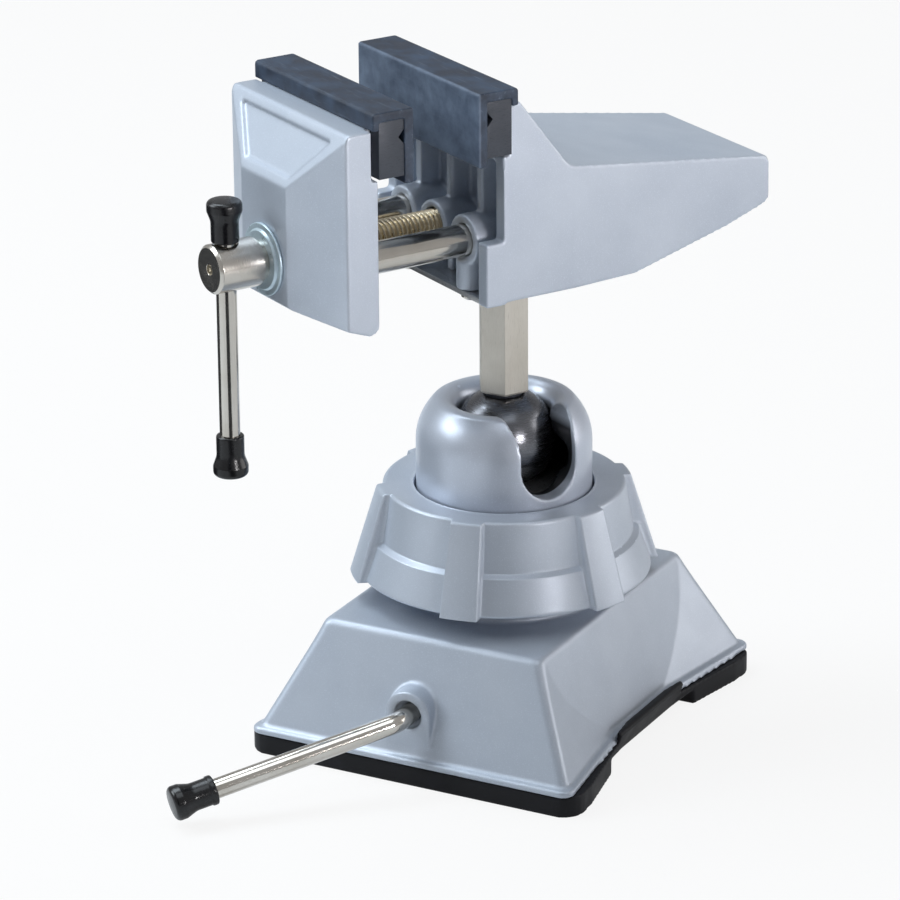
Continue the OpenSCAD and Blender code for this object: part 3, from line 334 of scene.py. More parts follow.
# %% [markdown]
# ## Meshes
# Three ways of making a mesh do for nearly everything. A lathe turns a profile into round work. A
# sweep draws a round section along a path, for bent rod. A skin takes a casting's solid, rebuilds it
# from small cells and relaxes them, which rounds every edge and fillets every inner corner as a mould
# does. Bevels on a solid with many crossing bores would tear, and cells never do.


# %% Finishing a piece
def finish(piece, material, replaced=None, rides=None):
    """Gives a piece its material and sets it on the body of the solid it stands for."""
    if not piece.data.materials:
        piece.data.materials.append(material)
    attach(piece, rides or body_of[replaced])
    if replaced:
        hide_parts(replaced)
    return piece


def mesh_object(name, vertices, faces, place=WORLD, smooth=35):
    """A mesh from points in mm, placed by a matrix in mm, its faces turned outwards."""
    mesh = bpy.data.meshes.new(name)
    mesh.from_pydata([tuple(v) for v in vertices], [], faces)
    work = bmesh.new()
    work.from_mesh(mesh)
    bmesh.ops.remove_doubles(work, verts=work.verts, dist=1e-5)
    bmesh.ops.recalc_face_normals(work, faces=work.faces)
    work.to_mesh(mesh)
    work.free()
    mesh.transform(Matrix.Scale(MM, 4) @ place)
    piece = bpy.data.objects.new(name, mesh)
    bpy.context.collection.objects.link(piece)
    soften(piece, smooth)
    return piece


def soften(piece, angle):
    """Smooth shading, kept sharp where faces meet at more than angle degrees."""
    mesh = piece.data
    mesh.polygons.foreach_set("use_smooth", [True] * len(mesh.polygons))
    work = bmesh.new()
    work.from_mesh(mesh)
    for edge in work.edges:
        edge.smooth = len(edge.link_faces) == 2 and edge.calc_face_angle(0) < radians(angle)
    work.to_mesh(mesh)
    work.free()


def settled(piece):
    """Turns a piece's modifiers into plain mesh and takes them off."""
    bpy.context.view_layer.update()
    done = piece.evaluated_get(bpy.context.evaluated_depsgraph_get())
    mesh = bpy.data.meshes.new_from_object(done)
    piece.modifiers.clear()
    piece.data = mesh
    return piece


# %% Lathe
def rounded(points, radii, steps=5):
    """A profile whose corners are rounded by the given radii, 0 leaving one sharp."""
    out = []
    for i, (point, r) in enumerate(zip(points, radii)):
        if r <= 0:
            out.append(tuple(point))
            continue
        p, a, b = Vector(point), Vector(points[i - 1]), Vector(points[(i + 1) % len(points)])
        u, v = (a - p).normalized(), (b - p).normalized()
        half = u.angle(v) / 2
        reach_along = r / tan(half)
        centre = p + (u + v).normalized() * r / sin(half)
        start, end = p + u * reach_along - centre, p + v * reach_along - centre
        sweep = start.angle_signed(end)
        for k in range(steps + 1):
            w = -sweep * k / steps
            out.append((centre.x + start.x * cos(w) - start.y * sin(w),
                        centre.y + start.x * sin(w) + start.y * cos(w)))
    return out


def lathe(name, profile, place=WORLD, segments=96, smooth=35):
    """A turned piece about +Z from (radius, height) points. Radius 0 closes it on the axis."""
    vertices, rows = [], []
    for r, z in profile:
        if r < 1e-6:
            rows.append([len(vertices)] * segments)
            vertices.append((0, 0, z))
        else:
            rows.append([len(vertices) + k for k in range(segments)])
            vertices += [(r * cos(2 * pi * k / segments), r * sin(2 * pi * k / segments), z)
                         for k in range(segments)]
    if profile[0][0] > 1e-6:
        rows.append(rows[0])
    faces = []
    for low, high in zip(rows, rows[1:]):
        for k in range(segments):
            corner = [low[k], low[(k + 1) % segments], high[(k + 1) % segments], high[k]]
            corner = list(dict.fromkeys(corner))
            if len(corner) > 2:
                faces.append(corner)
    return mesh_object(name, vertices, faces, place, smooth)


def along_head(x, y, z):
    """Places a lathe in the head with its +Z running back along the screw's axis."""
    return HEAD @ Matrix.Translation((x, y, z)) @ Matrix.Rotation(-pi / 2, 4, "X")


# %% Sweep
def sweep(name, path, radii, segments=48):
    """A round section along a path of points, with a radius for each point and closed ends."""
    path = [Vector(p) for p in path]
    vertices, faces = [], []
    side = (path[1] - path[0]).orthogonal().normalized()
    for i, point in enumerate(path):
        ahead = (path[min(i + 1, len(path) - 1)] - path[max(i - 1, 0)]).normalized()
        side = (side - ahead * side.dot(ahead)).normalized()
        other = ahead.cross(side)
        vertices += [point + (side * cos(2 * pi * k / segments) + other * sin(2 * pi * k / segments))
                     * radii[i] for k in range(segments)]
    for i in range(len(path) - 1):
        for k in range(segments):
            a, b = i * segments + k, i * segments + (k + 1) % segments
            faces.append([a, b, b + segments, a + segments])
    last = (len(path) - 1) * segments
    faces += [list(range(segments))[::-1], [last + k for k in range(segments)]]
    return mesh_object(name, vertices, faces)


# %% Casting skin
def cast_skin(node, cell_mm, relax, kept=1.0, bored=None):
    """A casting's solid, bored by a cutter if one is given, rebuilt from small cells and relaxed."""
    piece = bpy.data.objects.new(node + "_skin", nodes[node].data.copy())
    bpy.context.collection.objects.link(piece)
    work = bmesh.new()
    work.from_mesh(piece.data)
    bmesh.ops.remove_doubles(work, verts=work.verts, dist=1e-7)
    work.to_mesh(piece.data)
    work.free()
    piece.data.materials.clear()
    if bored is not None:
        bore = piece.modifiers.new("bore", "BOOLEAN")
        bore.operation = "DIFFERENCE"
        bore.object = bored
        bore.solver = "EXACT"
    cells = piece.modifiers.new("cells", "REMESH")
    cells.mode = "VOXEL"
    cells.voxel_size = cell_mm * MM * 1
    ease = piece.modifiers.new("ease", "SMOOTH")
    ease.factor = 0.5
    ease.iterations = relax
    if kept < 1:
        thin = piece.modifiers.new("thin", "DECIMATE")
        thin.ratio = kept
    settled(piece)
    piece.data.polygons.foreach_set("use_smooth", [True] * len(piece.data.polygons))
    print(piece.name, "has", len(piece.data.polygons), "faces")
    return piece


# %% [markdown]
# ## Base
# The base casting has pinched side panels between flared corners. The solid already holds that form,
# so a skin is enough: it rounds the corners into the bright beads that the photograph shows. The boss is
# counterbored round the lever, which shows as a dark ring. A cutter turned on the lathe bores the solid
# before the skin is drawn, so the bore's rim is rounded with the rest. The pad is softer rubber, and
# gets more rounding.

# %% Base casting and pad
turn_joint = next(joint for joint in frame["joints"] if joint["name"] == "lever_turn")
lever_x, lever_z = turn_joint["pos_m"][0] / MM, turn_joint["pos_m"][2] / MM
BOSS_FACE, MOUTH_R, MOUTH_DEEP, STANDS_OUT = -64.0, 4.7, 3.0, 1.0
cutter_length = MOUTH_DEEP + STANDS_OUT
cutter_start = Matrix.Translation((lever_x, BOSS_FACE - STANDS_OUT, lever_z))
cutter = lathe("mouth_cutter", [(0, 0), (MOUTH_R, 0), (MOUTH_R, cutter_length), (0, cutter_length)],
               cutter_start @ Matrix.Rotation(-pi / 2, 4, "X"))
base = cast_skin("base_housing", 0.6, 4, kept=0.25, bored=cutter)
bpy.data.objects.remove(cutter)
finish(base, cast_enamel, "base_housing")
finish(cast_skin("suction_pad", 0.45, 8, kept=0.25), black_rubber, "suction_pad")

# %% [markdown]
# ## Vacuum lever
# One piece of round rod, bent once in front of the boss. A sweep follows its centre line: the shaft, an
# arc for the bend, then the arm. The rubber tip is a lathe, flared to a rounded end like the handle's.

# %% Lever rod
LEVER_R, ARM_BEND, ARM_DROP, ARM_LENGTH, BEND_R = 3.175, radians(42), radians(17), 73.0, 8.0
rod_low, rod_high = reach("vacuum_lever")
arm_reach = BEND_R * sin(ARM_BEND) + (ARM_LENGTH - 1.5) * cos(ARM_BEND)
bend_start = -(rod_low[1] + arm_reach + LEVER_R * sin(ARM_BEND))
drop = Matrix.Translation((lever_x, 0, lever_z)) @ Matrix.Rotation(-ARM_DROP, 4, "Y")
straight = [Vector((0, y, 0)) for y in np.linspace(rod_high[1] - 0.4, -bend_start, 20)]
arc = [Vector((-BEND_R * (1 - cos(w)), -bend_start - BEND_R * sin(w), 0))
       for w in np.linspace(0, ARM_BEND, 13)[1:]]
arm_way = Vector((-sin(ARM_BEND), -cos(ARM_BEND), 0))
arm = [arc[-1] + arm_way * t for t in np.linspace(0, ARM_LENGTH - 2, 24)[1:]]
path = [drop @ p for p in straight + arc + arm]
radii = [LEVER_R - 0.5] + [LEVER_R] * (len(path) - 1)
finish(sweep("lever_rod", path, radii), nickel_lever, "vacuum_lever")
print(f"the lever starts to bend {bend_start:.1f} mm in front of the base's centre")


# %% Rubber caps
def rubber_cap(name, rod_r, length, body_r, rim_r, collar, place):
    """A cap drawn over a rod's end: a straight sleeve that flares into a thick rounded rim."""
    mouth = [(body_r + collar, 0), (body_r + collar, 1.7), (body_r, 2.1)] if collar else [(body_r, 0)]
    mouth_round = [0.6, 0.3, 0.3] if collar else [0.6]
    profile = rounded(
        [(rod_r, 0.05)] + mouth + [(body_r, length * 0.5), (rim_r, length - 3.6), (rim_r, length - 0.4),
                                   (0, length), (0, length - 1.2), (rod_r, length - 1.2)],
        [0] + mouth_round + [5, 1.4, 1.5, 0, 0, 0], steps=8)
    return lathe(name, profile, place, smooth=40)


TIP_LENGTH, TIP_WALL, TIP_RIM, TIP_COLLAR = 14.5, 1.25, 2.4, 0.35
arm_end = Matrix.Translation(drop @ (arc[-1] + arm_way * ARM_LENGTH))
arm_axis = (drop.to_3x3() @ arm_way).to_track_quat("Z", "Y").to_matrix().to_4x4()
tip_low = arm_end @ arm_axis @ Matrix.Translation((0, 0, -TIP_LENGTH))
tip = rubber_cap("lever_cap", LEVER_R, TIP_LENGTH, LEVER_R + TIP_WALL, LEVER_R + TIP_RIM, TIP_COLLAR,
                 tip_low)
finish(tip, cap_rubber, "lever_tip")

# %% [markdown]
# ## Lock ring
# The ring's outside follows a rule: a profile turned about the axis, pushed out to a straight slope
# wherever a grip rib stands. That is a job for Geometry Nodes. The ring is turned as a fine mesh first.
# The tree then reads each point's angle, finds how far it is from the nearest rib's middle, and moves
# it out along its radius, with a soft step at the rib's flanks in place of a knife edge. An attribute
# marks the outside's points, so that the hollow skirt's inside stays round.

# %% Ring profile
ring_low, ring_high = reach("lock_ring")
ring_bottom, ring_top = ring_low[2], ring_high[2]
TOP_R, STEP_R, FOOT_R, EYE_R, THREAD_R = 38.6, 41.2, 47.3, 28.8, 33.1
STEP_Z, STEP_H, STEP_OUT, SKIN = ring_bottom + 12.9, 1.1, 1.9, 3.0
GROOVE_TOP, LIP_UNDER = ring_bottom + 8.8, ring_top - 5.5


def subdivided(points, longest=0.7):
    """Adds points along an open profile so that none of its stretches is longer than the given mm."""
    out = []
    for a, b in zip(points, points[1:]):
        count = max(1, int(hypot(b[0] - a[0], b[1] - a[1]) / longest))
        out += [(a[0] + (b[0] - a[0]) * k / count, a[1] + (b[1] - a[1]) * k / count)
                for k in range(count)]
    return out


outside = rounded(
    [(FOOT_R - SKIN, ring_bottom), (FOOT_R, ring_bottom), (STEP_R + STEP_OUT, STEP_Z - STEP_H),
     (STEP_R, STEP_Z), (TOP_R, ring_top - 0.4), (EYE_R, ring_top)], [0, 0.9, 0.6, 0.8, 1.2, 0])[1:-1]
inside = rounded(
    [(EYE_R, ring_top), (EYE_R, LIP_UNDER), (THREAD_R, LIP_UNDER), (THREAD_R, ring_bottom),
     (THREAD_R + 3.1, ring_bottom), (THREAD_R + 3.1, GROOVE_TOP), (STEP_R - 0.5, GROOVE_TOP),
     (FOOT_R - SKIN, ring_bottom)], [0.3, 0, 0.3, 0.3, 0.3, 1, 1, 0.5])
outside = subdivided(outside + inside[:1])
SEGMENTS = 720
ring = lathe("grip_ring", outside + inside, segments=SEGMENTS, smooth=180)
TOP_REACH = 3.0
mark = ring.data.attributes.new("gripped", "FLOAT", "POINT")
for i in range(len(outside) * SEGMENTS):
    r = outside[i // SEGMENTS][0]
    mark.data[i].value = min(max((r - TOP_R + TOP_REACH) / TOP_REACH, 0), 1)


# %% Rib tree
def new_geometry_tree(name, inputs):
    """A Geometry Nodes tree with a Geometry input and output and named number inputs."""
    tree = bpy.data.node_groups.new(name, "GeometryNodeTree")
    tree.interface.new_socket("Geometry", in_out="INPUT", socket_type="NodeSocketGeometry")
    for label, value in inputs.items():
        kind = {int: "NodeSocketInt", float: "NodeSocketFloat"}.get(type(value), "NodeSocketObject")
        socket = tree.interface.new_socket(label, in_out="INPUT", socket_type=kind)
        if kind != "NodeSocketObject":
            socket.default_value = value
    tree.interface.new_socket("Geometry", in_out="OUTPUT", socket_type="NodeSocketGeometry")
    return tree, add(tree, "NodeGroupInput").outputs


def moved_out(tree, geometry, place, amount):
    """Moves points away from the Z axis by the given amount."""
    flat = add(tree, "ShaderNodeVectorMath", {0: place, 1: (1, 1, 0)}, operation="MULTIPLY")
    unit = add(tree, "ShaderNodeVectorMath", {0: flat.outputs[0]}, operation="NORMALIZE")
    offset = add(tree, "ShaderNodeVectorMath", {0: unit.outputs[0], "Scale": amount}, operation="SCALE")
    sockets = {"Geometry": geometry, "Offset": offset.outputs[0]}
    return add(tree, "GeometryNodeSetPosition", sockets).outputs[0]


def end_tree(tree, geometry, material):
    """Every tree ends alike: real geometry, then its material."""
    real = add(tree, "GeometryNodeRealizeInstances", {0: geometry})
    painted = add(tree, "GeometryNodeSetMaterial", {"Geometry": real.outputs[0], "Material": material})
    add(tree, "NodeGroupOutput", {0: painted.outputs[0]})


def run_tree(piece, tree, values):
    """Runs a tree on a piece with its named inputs set, and keeps the result as plain mesh."""
    modifier = piece.modifiers.new(tree.name, "NODES")
    modifier.node_group = tree
    for item in tree.interface.items_tree:
        if item.in_out == "INPUT" and item.name in values:
            modifier[item.identifier] = values[item.name]
    return settled(piece)


def rib_tree(material):
    sizes = {"Ribs": 6, "First rib (deg)": -80.0, "Rib width (deg)": 14.0, "Flank (deg)": 1.0,
             "Top radius": 0.0407, "Foot radius": 0.0496, "Top": 0.08, "Foot": 0.051}
    tree, given = new_geometry_tree("grip_ribs", sizes)
    place = add(tree, "GeometryNodeInputPosition").outputs[0]
    axes = add(tree, "ShaderNodeSeparateXYZ", {0: place}).outputs
    radius = maths(tree, "SQRT", maths(tree, "ADD", maths(tree, "MULTIPLY", axes[0], axes[0]),
                                       maths(tree, "MULTIPLY", axes[1], axes[1])))
    angle = maths(tree, "DEGREES", maths(tree, "ARCTAN2", axes[1], axes[0]))
    pitch = maths(tree, "DIVIDE", 360.0, given["Ribs"])
    half_pitch = maths(tree, "MULTIPLY", pitch, 0.5)
    from_first = maths(tree, "ADD", maths(tree, "SUBTRACT", angle, given["First rib (deg)"]), half_pitch)
    wrapped = maths(tree, "FLOORED_MODULO", from_first, pitch)
    from_middle = maths(tree, "ABSOLUTE", maths(tree, "SUBTRACT", wrapped, half_pitch))
    half_width = maths(tree, "MULTIPLY", given["Rib width (deg)"], 0.5)
    flank = add(tree, "ShaderNodeMapRange", {
        "Value": from_middle, "From Min": maths(tree, "ADD", half_width, given["Flank (deg)"]),
        "From Max": half_width, "To Min": 0.0, "To Max": 1.0}, interpolation_type="SMOOTHSTEP")
    slope = remap(tree, axes[2], given["Foot"], given["Top"], given["Foot radius"], given["Top radius"])
    grown = maths(tree, "MAXIMUM", radius, slope)
    outer = add(tree, "GeometryNodeInputNamedAttribute", {"Name": "gripped"}, data_type="FLOAT").outputs[0]
    share = maths(tree, "MULTIPLY", flank.outputs[0], outer)
    push = maths(tree, "MULTIPLY", maths(tree, "SUBTRACT", grown, radius), share)
    end_tree(tree, moved_out(tree, given["Geometry"], place, push), material)
    return tree


run_tree(ring, rib_tree(ring_enamel), {
    "Ribs": 6, "First rib (deg)": -80.0, "Rib width (deg)": 14.0, "Flank (deg)": 1.0,
    "Top radius": (TOP_R + 2.1) * MM, "Foot radius": (FOOT_R + 2.3) * MM,
    "Top": (ring_top - 0.35) * MM, "Foot": (ring_bottom + 0.3) * MM})
finish(ring, ring_enamel, "lock_ring")
print("grip ring faces:", len(ring.data.polygons))

# %% [markdown]
# ## Ball joint
# The dome is a casting with a slot, rubbed smooth: a fine skin rounds its rim and the slot's edges. The
# ball is turned steel, so a lathe makes it, with the flat that was left under the stem. The stem is
# hexagon bar: a prism with lightly broken edges and a chamfered foot.

# %% Dome, ball and stem
finish(cast_skin("clamp_dome", 0.45, 14, kept=0.5), dome_enamel, "clamp_dome")

BALL_R, FLAT_DEPTH, NECK_R = 16.5, 1.5, 6.06
flat_angle = float(np.arcsin((BALL_R - FLAT_DEPTH) / BALL_R))
ball_arc = [(BALL_R * cos(w), ball_z + BALL_R * sin(w)) for w in np.linspace(-pi / 2, flat_angle, 60)]
ball_arc[0] = (0, ball_z - BALL_R)
ball_top = ball_z + BALL_R - FLAT_DEPTH
ball = lathe("turned_ball", ball_arc + [(NECK_R + 0.6, ball_top), (NECK_R, ball_top - 0.5),
                                        (NECK_R, ball_z + 4), (0, ball_z + 4)], smooth=30)
finish(ball, ball_steel, "ball")


def hexagon(across_flats, corner_r, steps=4):
    """Corners of a hexagon with flats facing +X and -X and slightly broken corners."""
    tall = across_flats / 2 / cos(pi / 6)
    corners = [(tall * cos(radians(30 + 60 * k)), tall * sin(radians(30 + 60 * k))) for k in range(6)]
    return rounded(corners, [corner_r] * 6, steps)


stem_low, stem_high = reach("hex_stem", HEAD)
STEM_AF, SPIGOT_R = 15.0, 6.0
stem_foot = ball_top + 1.1
outline = hexagon(STEM_AF, 0.45)
levels = [(stem_foot, 0.93), (stem_foot + 0.7, 1), (stem_high[2], 1)]
vertices = [(x * s, y * s, z) for z, s in levels for x, y in outline]
count = len(outline)
faces = [[low + k, low + (k + 1) % count, low + count + (k + 1) % count, low + count + k]
         for low in (0, count) for k in range(count)]
faces += [list(range(count)), [2 * count + k for k in range(count)]]
bar = mesh_object("hexagon_bar", vertices, faces, HEAD, smooth=25)
spigot_top = stem_foot + 0.2
spigot = lathe("hexagon_bar_spigot", [(0, stem_low[2]), (SPIGOT_R, stem_low[2]), (SPIGOT_R, spigot_top),
                                      (0, spigot_top)])
finish(bar, stem_steel, "hex_stem")
# The spigot takes the dark steel as painted shade: it stands for the shadow under the hexagon's foot.
finish(spigot, dark_steel, rides="head")

# %% [markdown]
# ## Head castings
# Rear body and front jaw are castings too, with a bay full of bosses and webs. Their skins use cells as
# fine as the base's or finer, because the webs are thin, and the flat faces must stay flat.

# %% Rear body and front jaw
finish(cast_skin("rear_jaw_body", 0.6, 4, kept=0.3), cast_enamel, "rear_jaw_body")
finish(cast_skin("front_jaw", 0.5, 4, kept=0.4), cast_enamel, "front_jaw")

# %% [markdown]
# ## Jaw covers and plates
# The covers are soft caps over the steel plates, a little rounded everywhere. The plates show only at
# their ends, where the cover is open: a bevel along their edges catches the light there.

# %% Covers and plates
for side in ("rear", "front"):
    cover = cast_skin(f"{side}_jaw_cover", 0.4, 3, kept=0.5)
    finish(cover, cover_rubber, f"{side}_jaw_cover")


def bevelled(node, width_mm):
    """A copy of a flat-sided solid with its edges bevelled."""
    piece = bpy.data.objects.new(node + "_edged", nodes[node].data.copy())
    bpy.context.collection.objects.link(piece)
    piece.data.materials.clear()
    work = bmesh.new()
    work.from_mesh(piece.data)
    bmesh.ops.remove_doubles(work, verts=work.verts, dist=1e-7)
    bmesh.ops.dissolve_limit(work, angle_limit=radians(1), verts=work.verts, edges=work.edges)
    work.to_mesh(piece.data)
    work.free()
    bevel = piece.modifiers.new("edges", "BEVEL")
    bevel.width = width_mm * MM
    bevel.segments = 2
    bevel.limit_method = "ANGLE"
    bevel.angle_limit = radians(35)
    settled(piece)
    soften(piece, 30)
    return piece


for side in ("rear", "front"):
    finish(bevelled(f"{side}_jaw_plate", 0.25), dark_steel, f"{side}_jaw_plate")
finish(bevelled("bottom_plate", 0.2), zinc_steel, "bottom_plate")

# %% [markdown]
# ## Rods, screw and handle
# Drawn rods are lathes with chamfered ends. The screw is a lathe as well, with rings dense enough to
# carry a thread. Its Geometry Nodes tree cuts the thread: it compares each point's height with its
# angle, takes the share of a turn between them, and draws the point in towards the root.


# %% Guide rods
CHAMFER = 0.8
for side in ("left", "right"):
    low, high = reach(f"guide_rod_{side}", HEAD)
    rod_x, rod_r = (low[0] + high[0]) / 2, (high[0] - low[0]) / 2
    length = high[1] - low[1]
    profile = [(0, 0), (rod_r - CHAMFER, 0), (rod_r, CHAMFER), (rod_r, length - CHAMFER),
               (rod_r - CHAMFER, length), (0, length)]
    rod = lathe(f"guide_rod_{side}_turned", profile, along_head(rod_x, low[1], screw_z))
    finish(rod, nickel_rod, f"guide_rod_{side}")

# %% Thread tree
PITCH = 1.5875                              # mm, sixteen turns to the inch


def thread_tree(material):
    sizes = {"Pitch": 0.0015875, "Depth": 0.0009, "Start": 0.0, "End": 0.1, "Run-out": 0.0016}
    tree, given = new_geometry_tree("screw_thread", sizes)
    place = add(tree, "GeometryNodeInputPosition").outputs[0]
    axes = add(tree, "ShaderNodeSeparateXYZ", {0: place}).outputs
    turn_share = maths(tree, "DIVIDE", maths(tree, "ARCTAN2", axes[1], axes[0]), 2 * pi)
    turns = maths(tree, "SUBTRACT", maths(tree, "DIVIDE", axes[2], given["Pitch"]), turn_share)
    saw = maths(tree, "FRACT", turns)
    flank = maths(tree, "ABSOLUTE", maths(tree, "SUBTRACT", maths(tree, "MULTIPLY", saw, 2.0), 1.0))
    groove = remap(tree, flank, 0.12, 0.9, 0.0, 1.0)
    full_from = maths(tree, "ADD", given["Start"], given["Run-out"])
    full_to = maths(tree, "SUBTRACT", given["End"], given["Run-out"])
    begins = remap(tree, axes[2], given["Start"], full_from, 0.0, 1.0)
    ends = remap(tree, axes[2], full_to, given["End"], 1.0, 0.0)
    share = maths(tree, "MULTIPLY", groove, maths(tree, "MULTIPLY", begins, ends))
    inward = maths(tree, "MULTIPLY", maths(tree, "MULTIPLY", share, given["Depth"]), -1.0)
    end_tree(tree, moved_out(tree, given["Geometry"], place, inward), material)
    return tree


# %% Lead screw
clip_low, clip_high = reach("screw_clip", HEAD)
screw_r = (screw_high[2] - screw_low[2]) / 2
start_y, end_y = screw_low[1], screw_high[1]
plain_end = clip_low[1] - start_y
threaded_from, threaded_to = clip_high[1] - start_y + 0.4, end_y - start_y - 1.2
ring_count = int((threaded_to - threaded_from) / PITCH * 10)
profile = [(0, 0), (screw_r * 0.8, 0), (screw_r * 0.8, 5), (screw_r, 5), (screw_r, plain_end - 0.05),
           (screw_r - 0.8, plain_end), (screw_r - 0.8, threaded_from - 0.4)]
profile += [(screw_r, z) for z in np.linspace(threaded_from - 0.35, threaded_to, ring_count)]
profile += [(screw_r - 1.0, end_y - start_y), (0, end_y - start_y)]
screw = lathe("threaded_screw", profile, segments=64, smooth=60)
run_tree(screw, thread_tree(thread_steel), {
    "Pitch": PITCH * MM, "Depth": 0.95 * MM, "Start": threaded_from * MM, "End": threaded_to * MM,
    "Run-out": PITCH * MM})
screw.data.transform(Matrix.Scale(MM, 4) @ along_head(0, start_y, screw_z) @ Matrix.Scale(1 / MM, 4))
finish(screw, thread_steel, "lead_screw")
print("turns of thread:", round((threaded_to - threaded_from) / PITCH))

# %% [markdown]
# The hub is turned from bar, then cross drilled for the handle. Subtracting a cutter shaped like the
# drill and its countersink leaves the curved saddle where hole and cylinder meet. The screw's end comes
# through the hub's face, where it is staked: a small turned tip in the screw's own steel shows it.

# %% Hub and washer
hub_low, hub_high = reach("screw_hub", HEAD)
bar_low, bar_high = reach("handle_bar", HEAD)
hub_r = (hub_high[2] - hub_low[2]) / 2
hub_length = hub_high[1] - hub_low[1]
bar_y, bar_r = (bar_low[1] + bar_high[1]) / 2, (bar_high[0] - bar_low[0]) / 2
hub_profile = rounded(
    [(0, 1.5), (1.7, 1.5), (1.7, 0.1), (hub_r - 0.9, 0), (hub_r, 0.9), (hub_r, hub_length - 2.0),
     (hub_r - 1.5, hub_length - 1.7), (hub_r - 1.5, hub_length), (0, hub_length)],
    [0, 0, 0.15, 0.4, 0.4, 0.3, 0.2, 0, 0])
hub = lathe("turned_hub", hub_profile, along_head(0, hub_low[1], screw_z), segments=128)
CUT = hub_r + 1
drill = lathe("hub_drill", [(0, -CUT), (bar_r + 1.9, -CUT), (bar_r + 0.15, 1.8 - CUT),
                            (bar_r + 0.15, CUT - 1.8), (bar_r + 1.9, CUT), (0, CUT)],
              HEAD @ Matrix.Translation((0, bar_y, screw_z)), segments=64)
cut = hub.modifiers.new("drilled", "BOOLEAN")
cut.operation = "DIFFERENCE"
cut.object = drill
cut.solver = "EXACT"
settled(hub)
bpy.data.objects.remove(drill)
soften(hub, 30)
finish(hub, nickel_hub, "screw_hub")
tip_profile = rounded([(0, 0.9), (0.6, 0.35), (1.55, 0.35), (1.55, 2.4), (0, 2.4)], [0, 0.2, 0.3, 0, 0])
screw_tip = lathe("staked_screw_tip", tip_profile, along_head(0, hub_low[1], screw_z), segments=48)
finish(screw_tip, thread_steel, rides="screw")

washer_low, washer_high = reach("thrust_washer", HEAD)
washer_r = (washer_high[2] - washer_low[2]) / 2
thick = washer_high[1] - washer_low[1]
washer_profile = rounded(
    [(5.1, 0), (washer_r - 2.2, 0), (washer_r - 1.7, thick * 0.45), (washer_r, thick * 0.5),
     (washer_r, thick), (5.1, thick)], [0, 0.3, 0.2, 0.3, 0.15, 0])
washer = lathe("stepped_washer", washer_profile, along_head(0, washer_low[1], screw_z), segments=128)
finish(washer, zinc_washer, "thrust_washer")

# %% Handle bar and its caps
CAP_WALL, CAP_RIM = 1.15, 2.3
bar_length = bar_high[2] - bar_low[2]
bar_profile = [(0, 0), (bar_r - 0.5, 0), (bar_r, 0.5), (bar_r, bar_length - 0.5),
               (bar_r - 0.5, bar_length), (0, bar_length)]
handle = lathe("drawn_bar", bar_profile, HEAD @ Matrix.Translation((0, bar_y, bar_low[2])))
finish(handle, nickel_bar, "handle_bar")
for end, flip in (("top", 0), ("bottom", pi)):
    low, high = reach(f"handle_cap_{end}", HEAD)
    foot = low[2] if end == "top" else high[2]
    place = HEAD @ Matrix.Translation((0, bar_y, foot)) @ Matrix.Rotation(flip, 4, "X")
    cap = rubber_cap(f"bar_cap_{end}", bar_r, high[2] - low[2], bar_r + CAP_WALL, bar_r + CAP_RIM, 0.0,
                     place)
    finish(cap, cap_rubber, f"handle_cap_{end}")

# %% [markdown]
# ## Screws under the floor plate
# Four pan-head screws hold the plate. One head is modelled, with its cross recess, and Geometry Nodes
# sets a copy on each of four points. What comes out is plain mesh again, so that it exports.


# %% Pan-head screw
HEAD_R = 3.1


def pan_head():
    dome_profile = rounded([(0, 0), (HEAD_R, 0), (HEAD_R, 1.2), (2.0, 2.1), (0, 2.1)],
                           [0, 0.15, 0.5, 1.2, 0])
    shank = [(0, -8.7), (1.6, -8.7), (1.6, 0)]
    head = lathe("pan_head", shank + dome_profile[1:], segments=40)
    for k in range(2):
        slot_corners = [(x * 1.9, y * 0.38, z) for z in (1.0, 3.0)
                        for x, y in ((-1, -1), (1, -1), (1, 1), (-1, 1))]
        slot_faces = [[0, 3, 2, 1], [4, 5, 6, 7]] + [[i, (i + 1) % 4, (i + 1) % 4 + 4, i + 4]
                                                     for i in range(4)]
        cross = mesh_object("cross", slot_corners, slot_faces, Matrix.Rotation(k * pi / 2, 4, "Z"))
        cut = head.modifiers.new("recess", "BOOLEAN")
        cut.operation = "DIFFERENCE"
        cut.object = cross
        settled(head)
        bpy.data.objects.remove(cross)
    soften(head, 35)
    return head


def screw_row_tree(material):
    tree, given = new_geometry_tree("screws_on_points", {"Screw": None})
    model = add(tree, "GeometryNodeObjectInfo", {"Object": given["Screw"]})
    points = add(tree, "GeometryNodeMeshToPoints", {"Mesh": given["Geometry"]})
    copies = add(tree, "GeometryNodeInstanceOnPoints", {
        "Points": points.outputs[0], "Instance": model.outputs["Geometry"], "Rotation": (pi, 0, 0)})
    end_tree(tree, copies.outputs[0], material)
    return tree


floor_low, floor_high = reach("bottom_plate", HEAD)
screws_low, screws_high = reach("bottom_plate_screws", HEAD)
front_y, rear_y = screws_low[1] + HEAD_R, screws_high[1] - HEAD_R
outer_x = screws_high[0] - HEAD_R
inner_x = outer_x - 5
points = bpy.data.meshes.new("floor_screw_points")
points.from_pydata([(HEAD @ Vector((x, y, floor_low[2]))) * MM for x, y in (
    (-inner_x, front_y), (inner_x, front_y), (-outer_x, rear_y), (outer_x, rear_y))], [], [])
floor_screws = bpy.data.objects.new("floor_screws", points)
bpy.context.collection.objects.link(floor_screws)
model = pan_head()
run_tree(floor_screws, screw_row_tree(nickel_bar), {"Screw": model})
bpy.data.objects.remove(model)
soften(floor_screws, 35)
finish(floor_screws, nickel_bar, "bottom_plate_screws")
print("floor screws have", len(floor_screws.data.polygons), "faces")

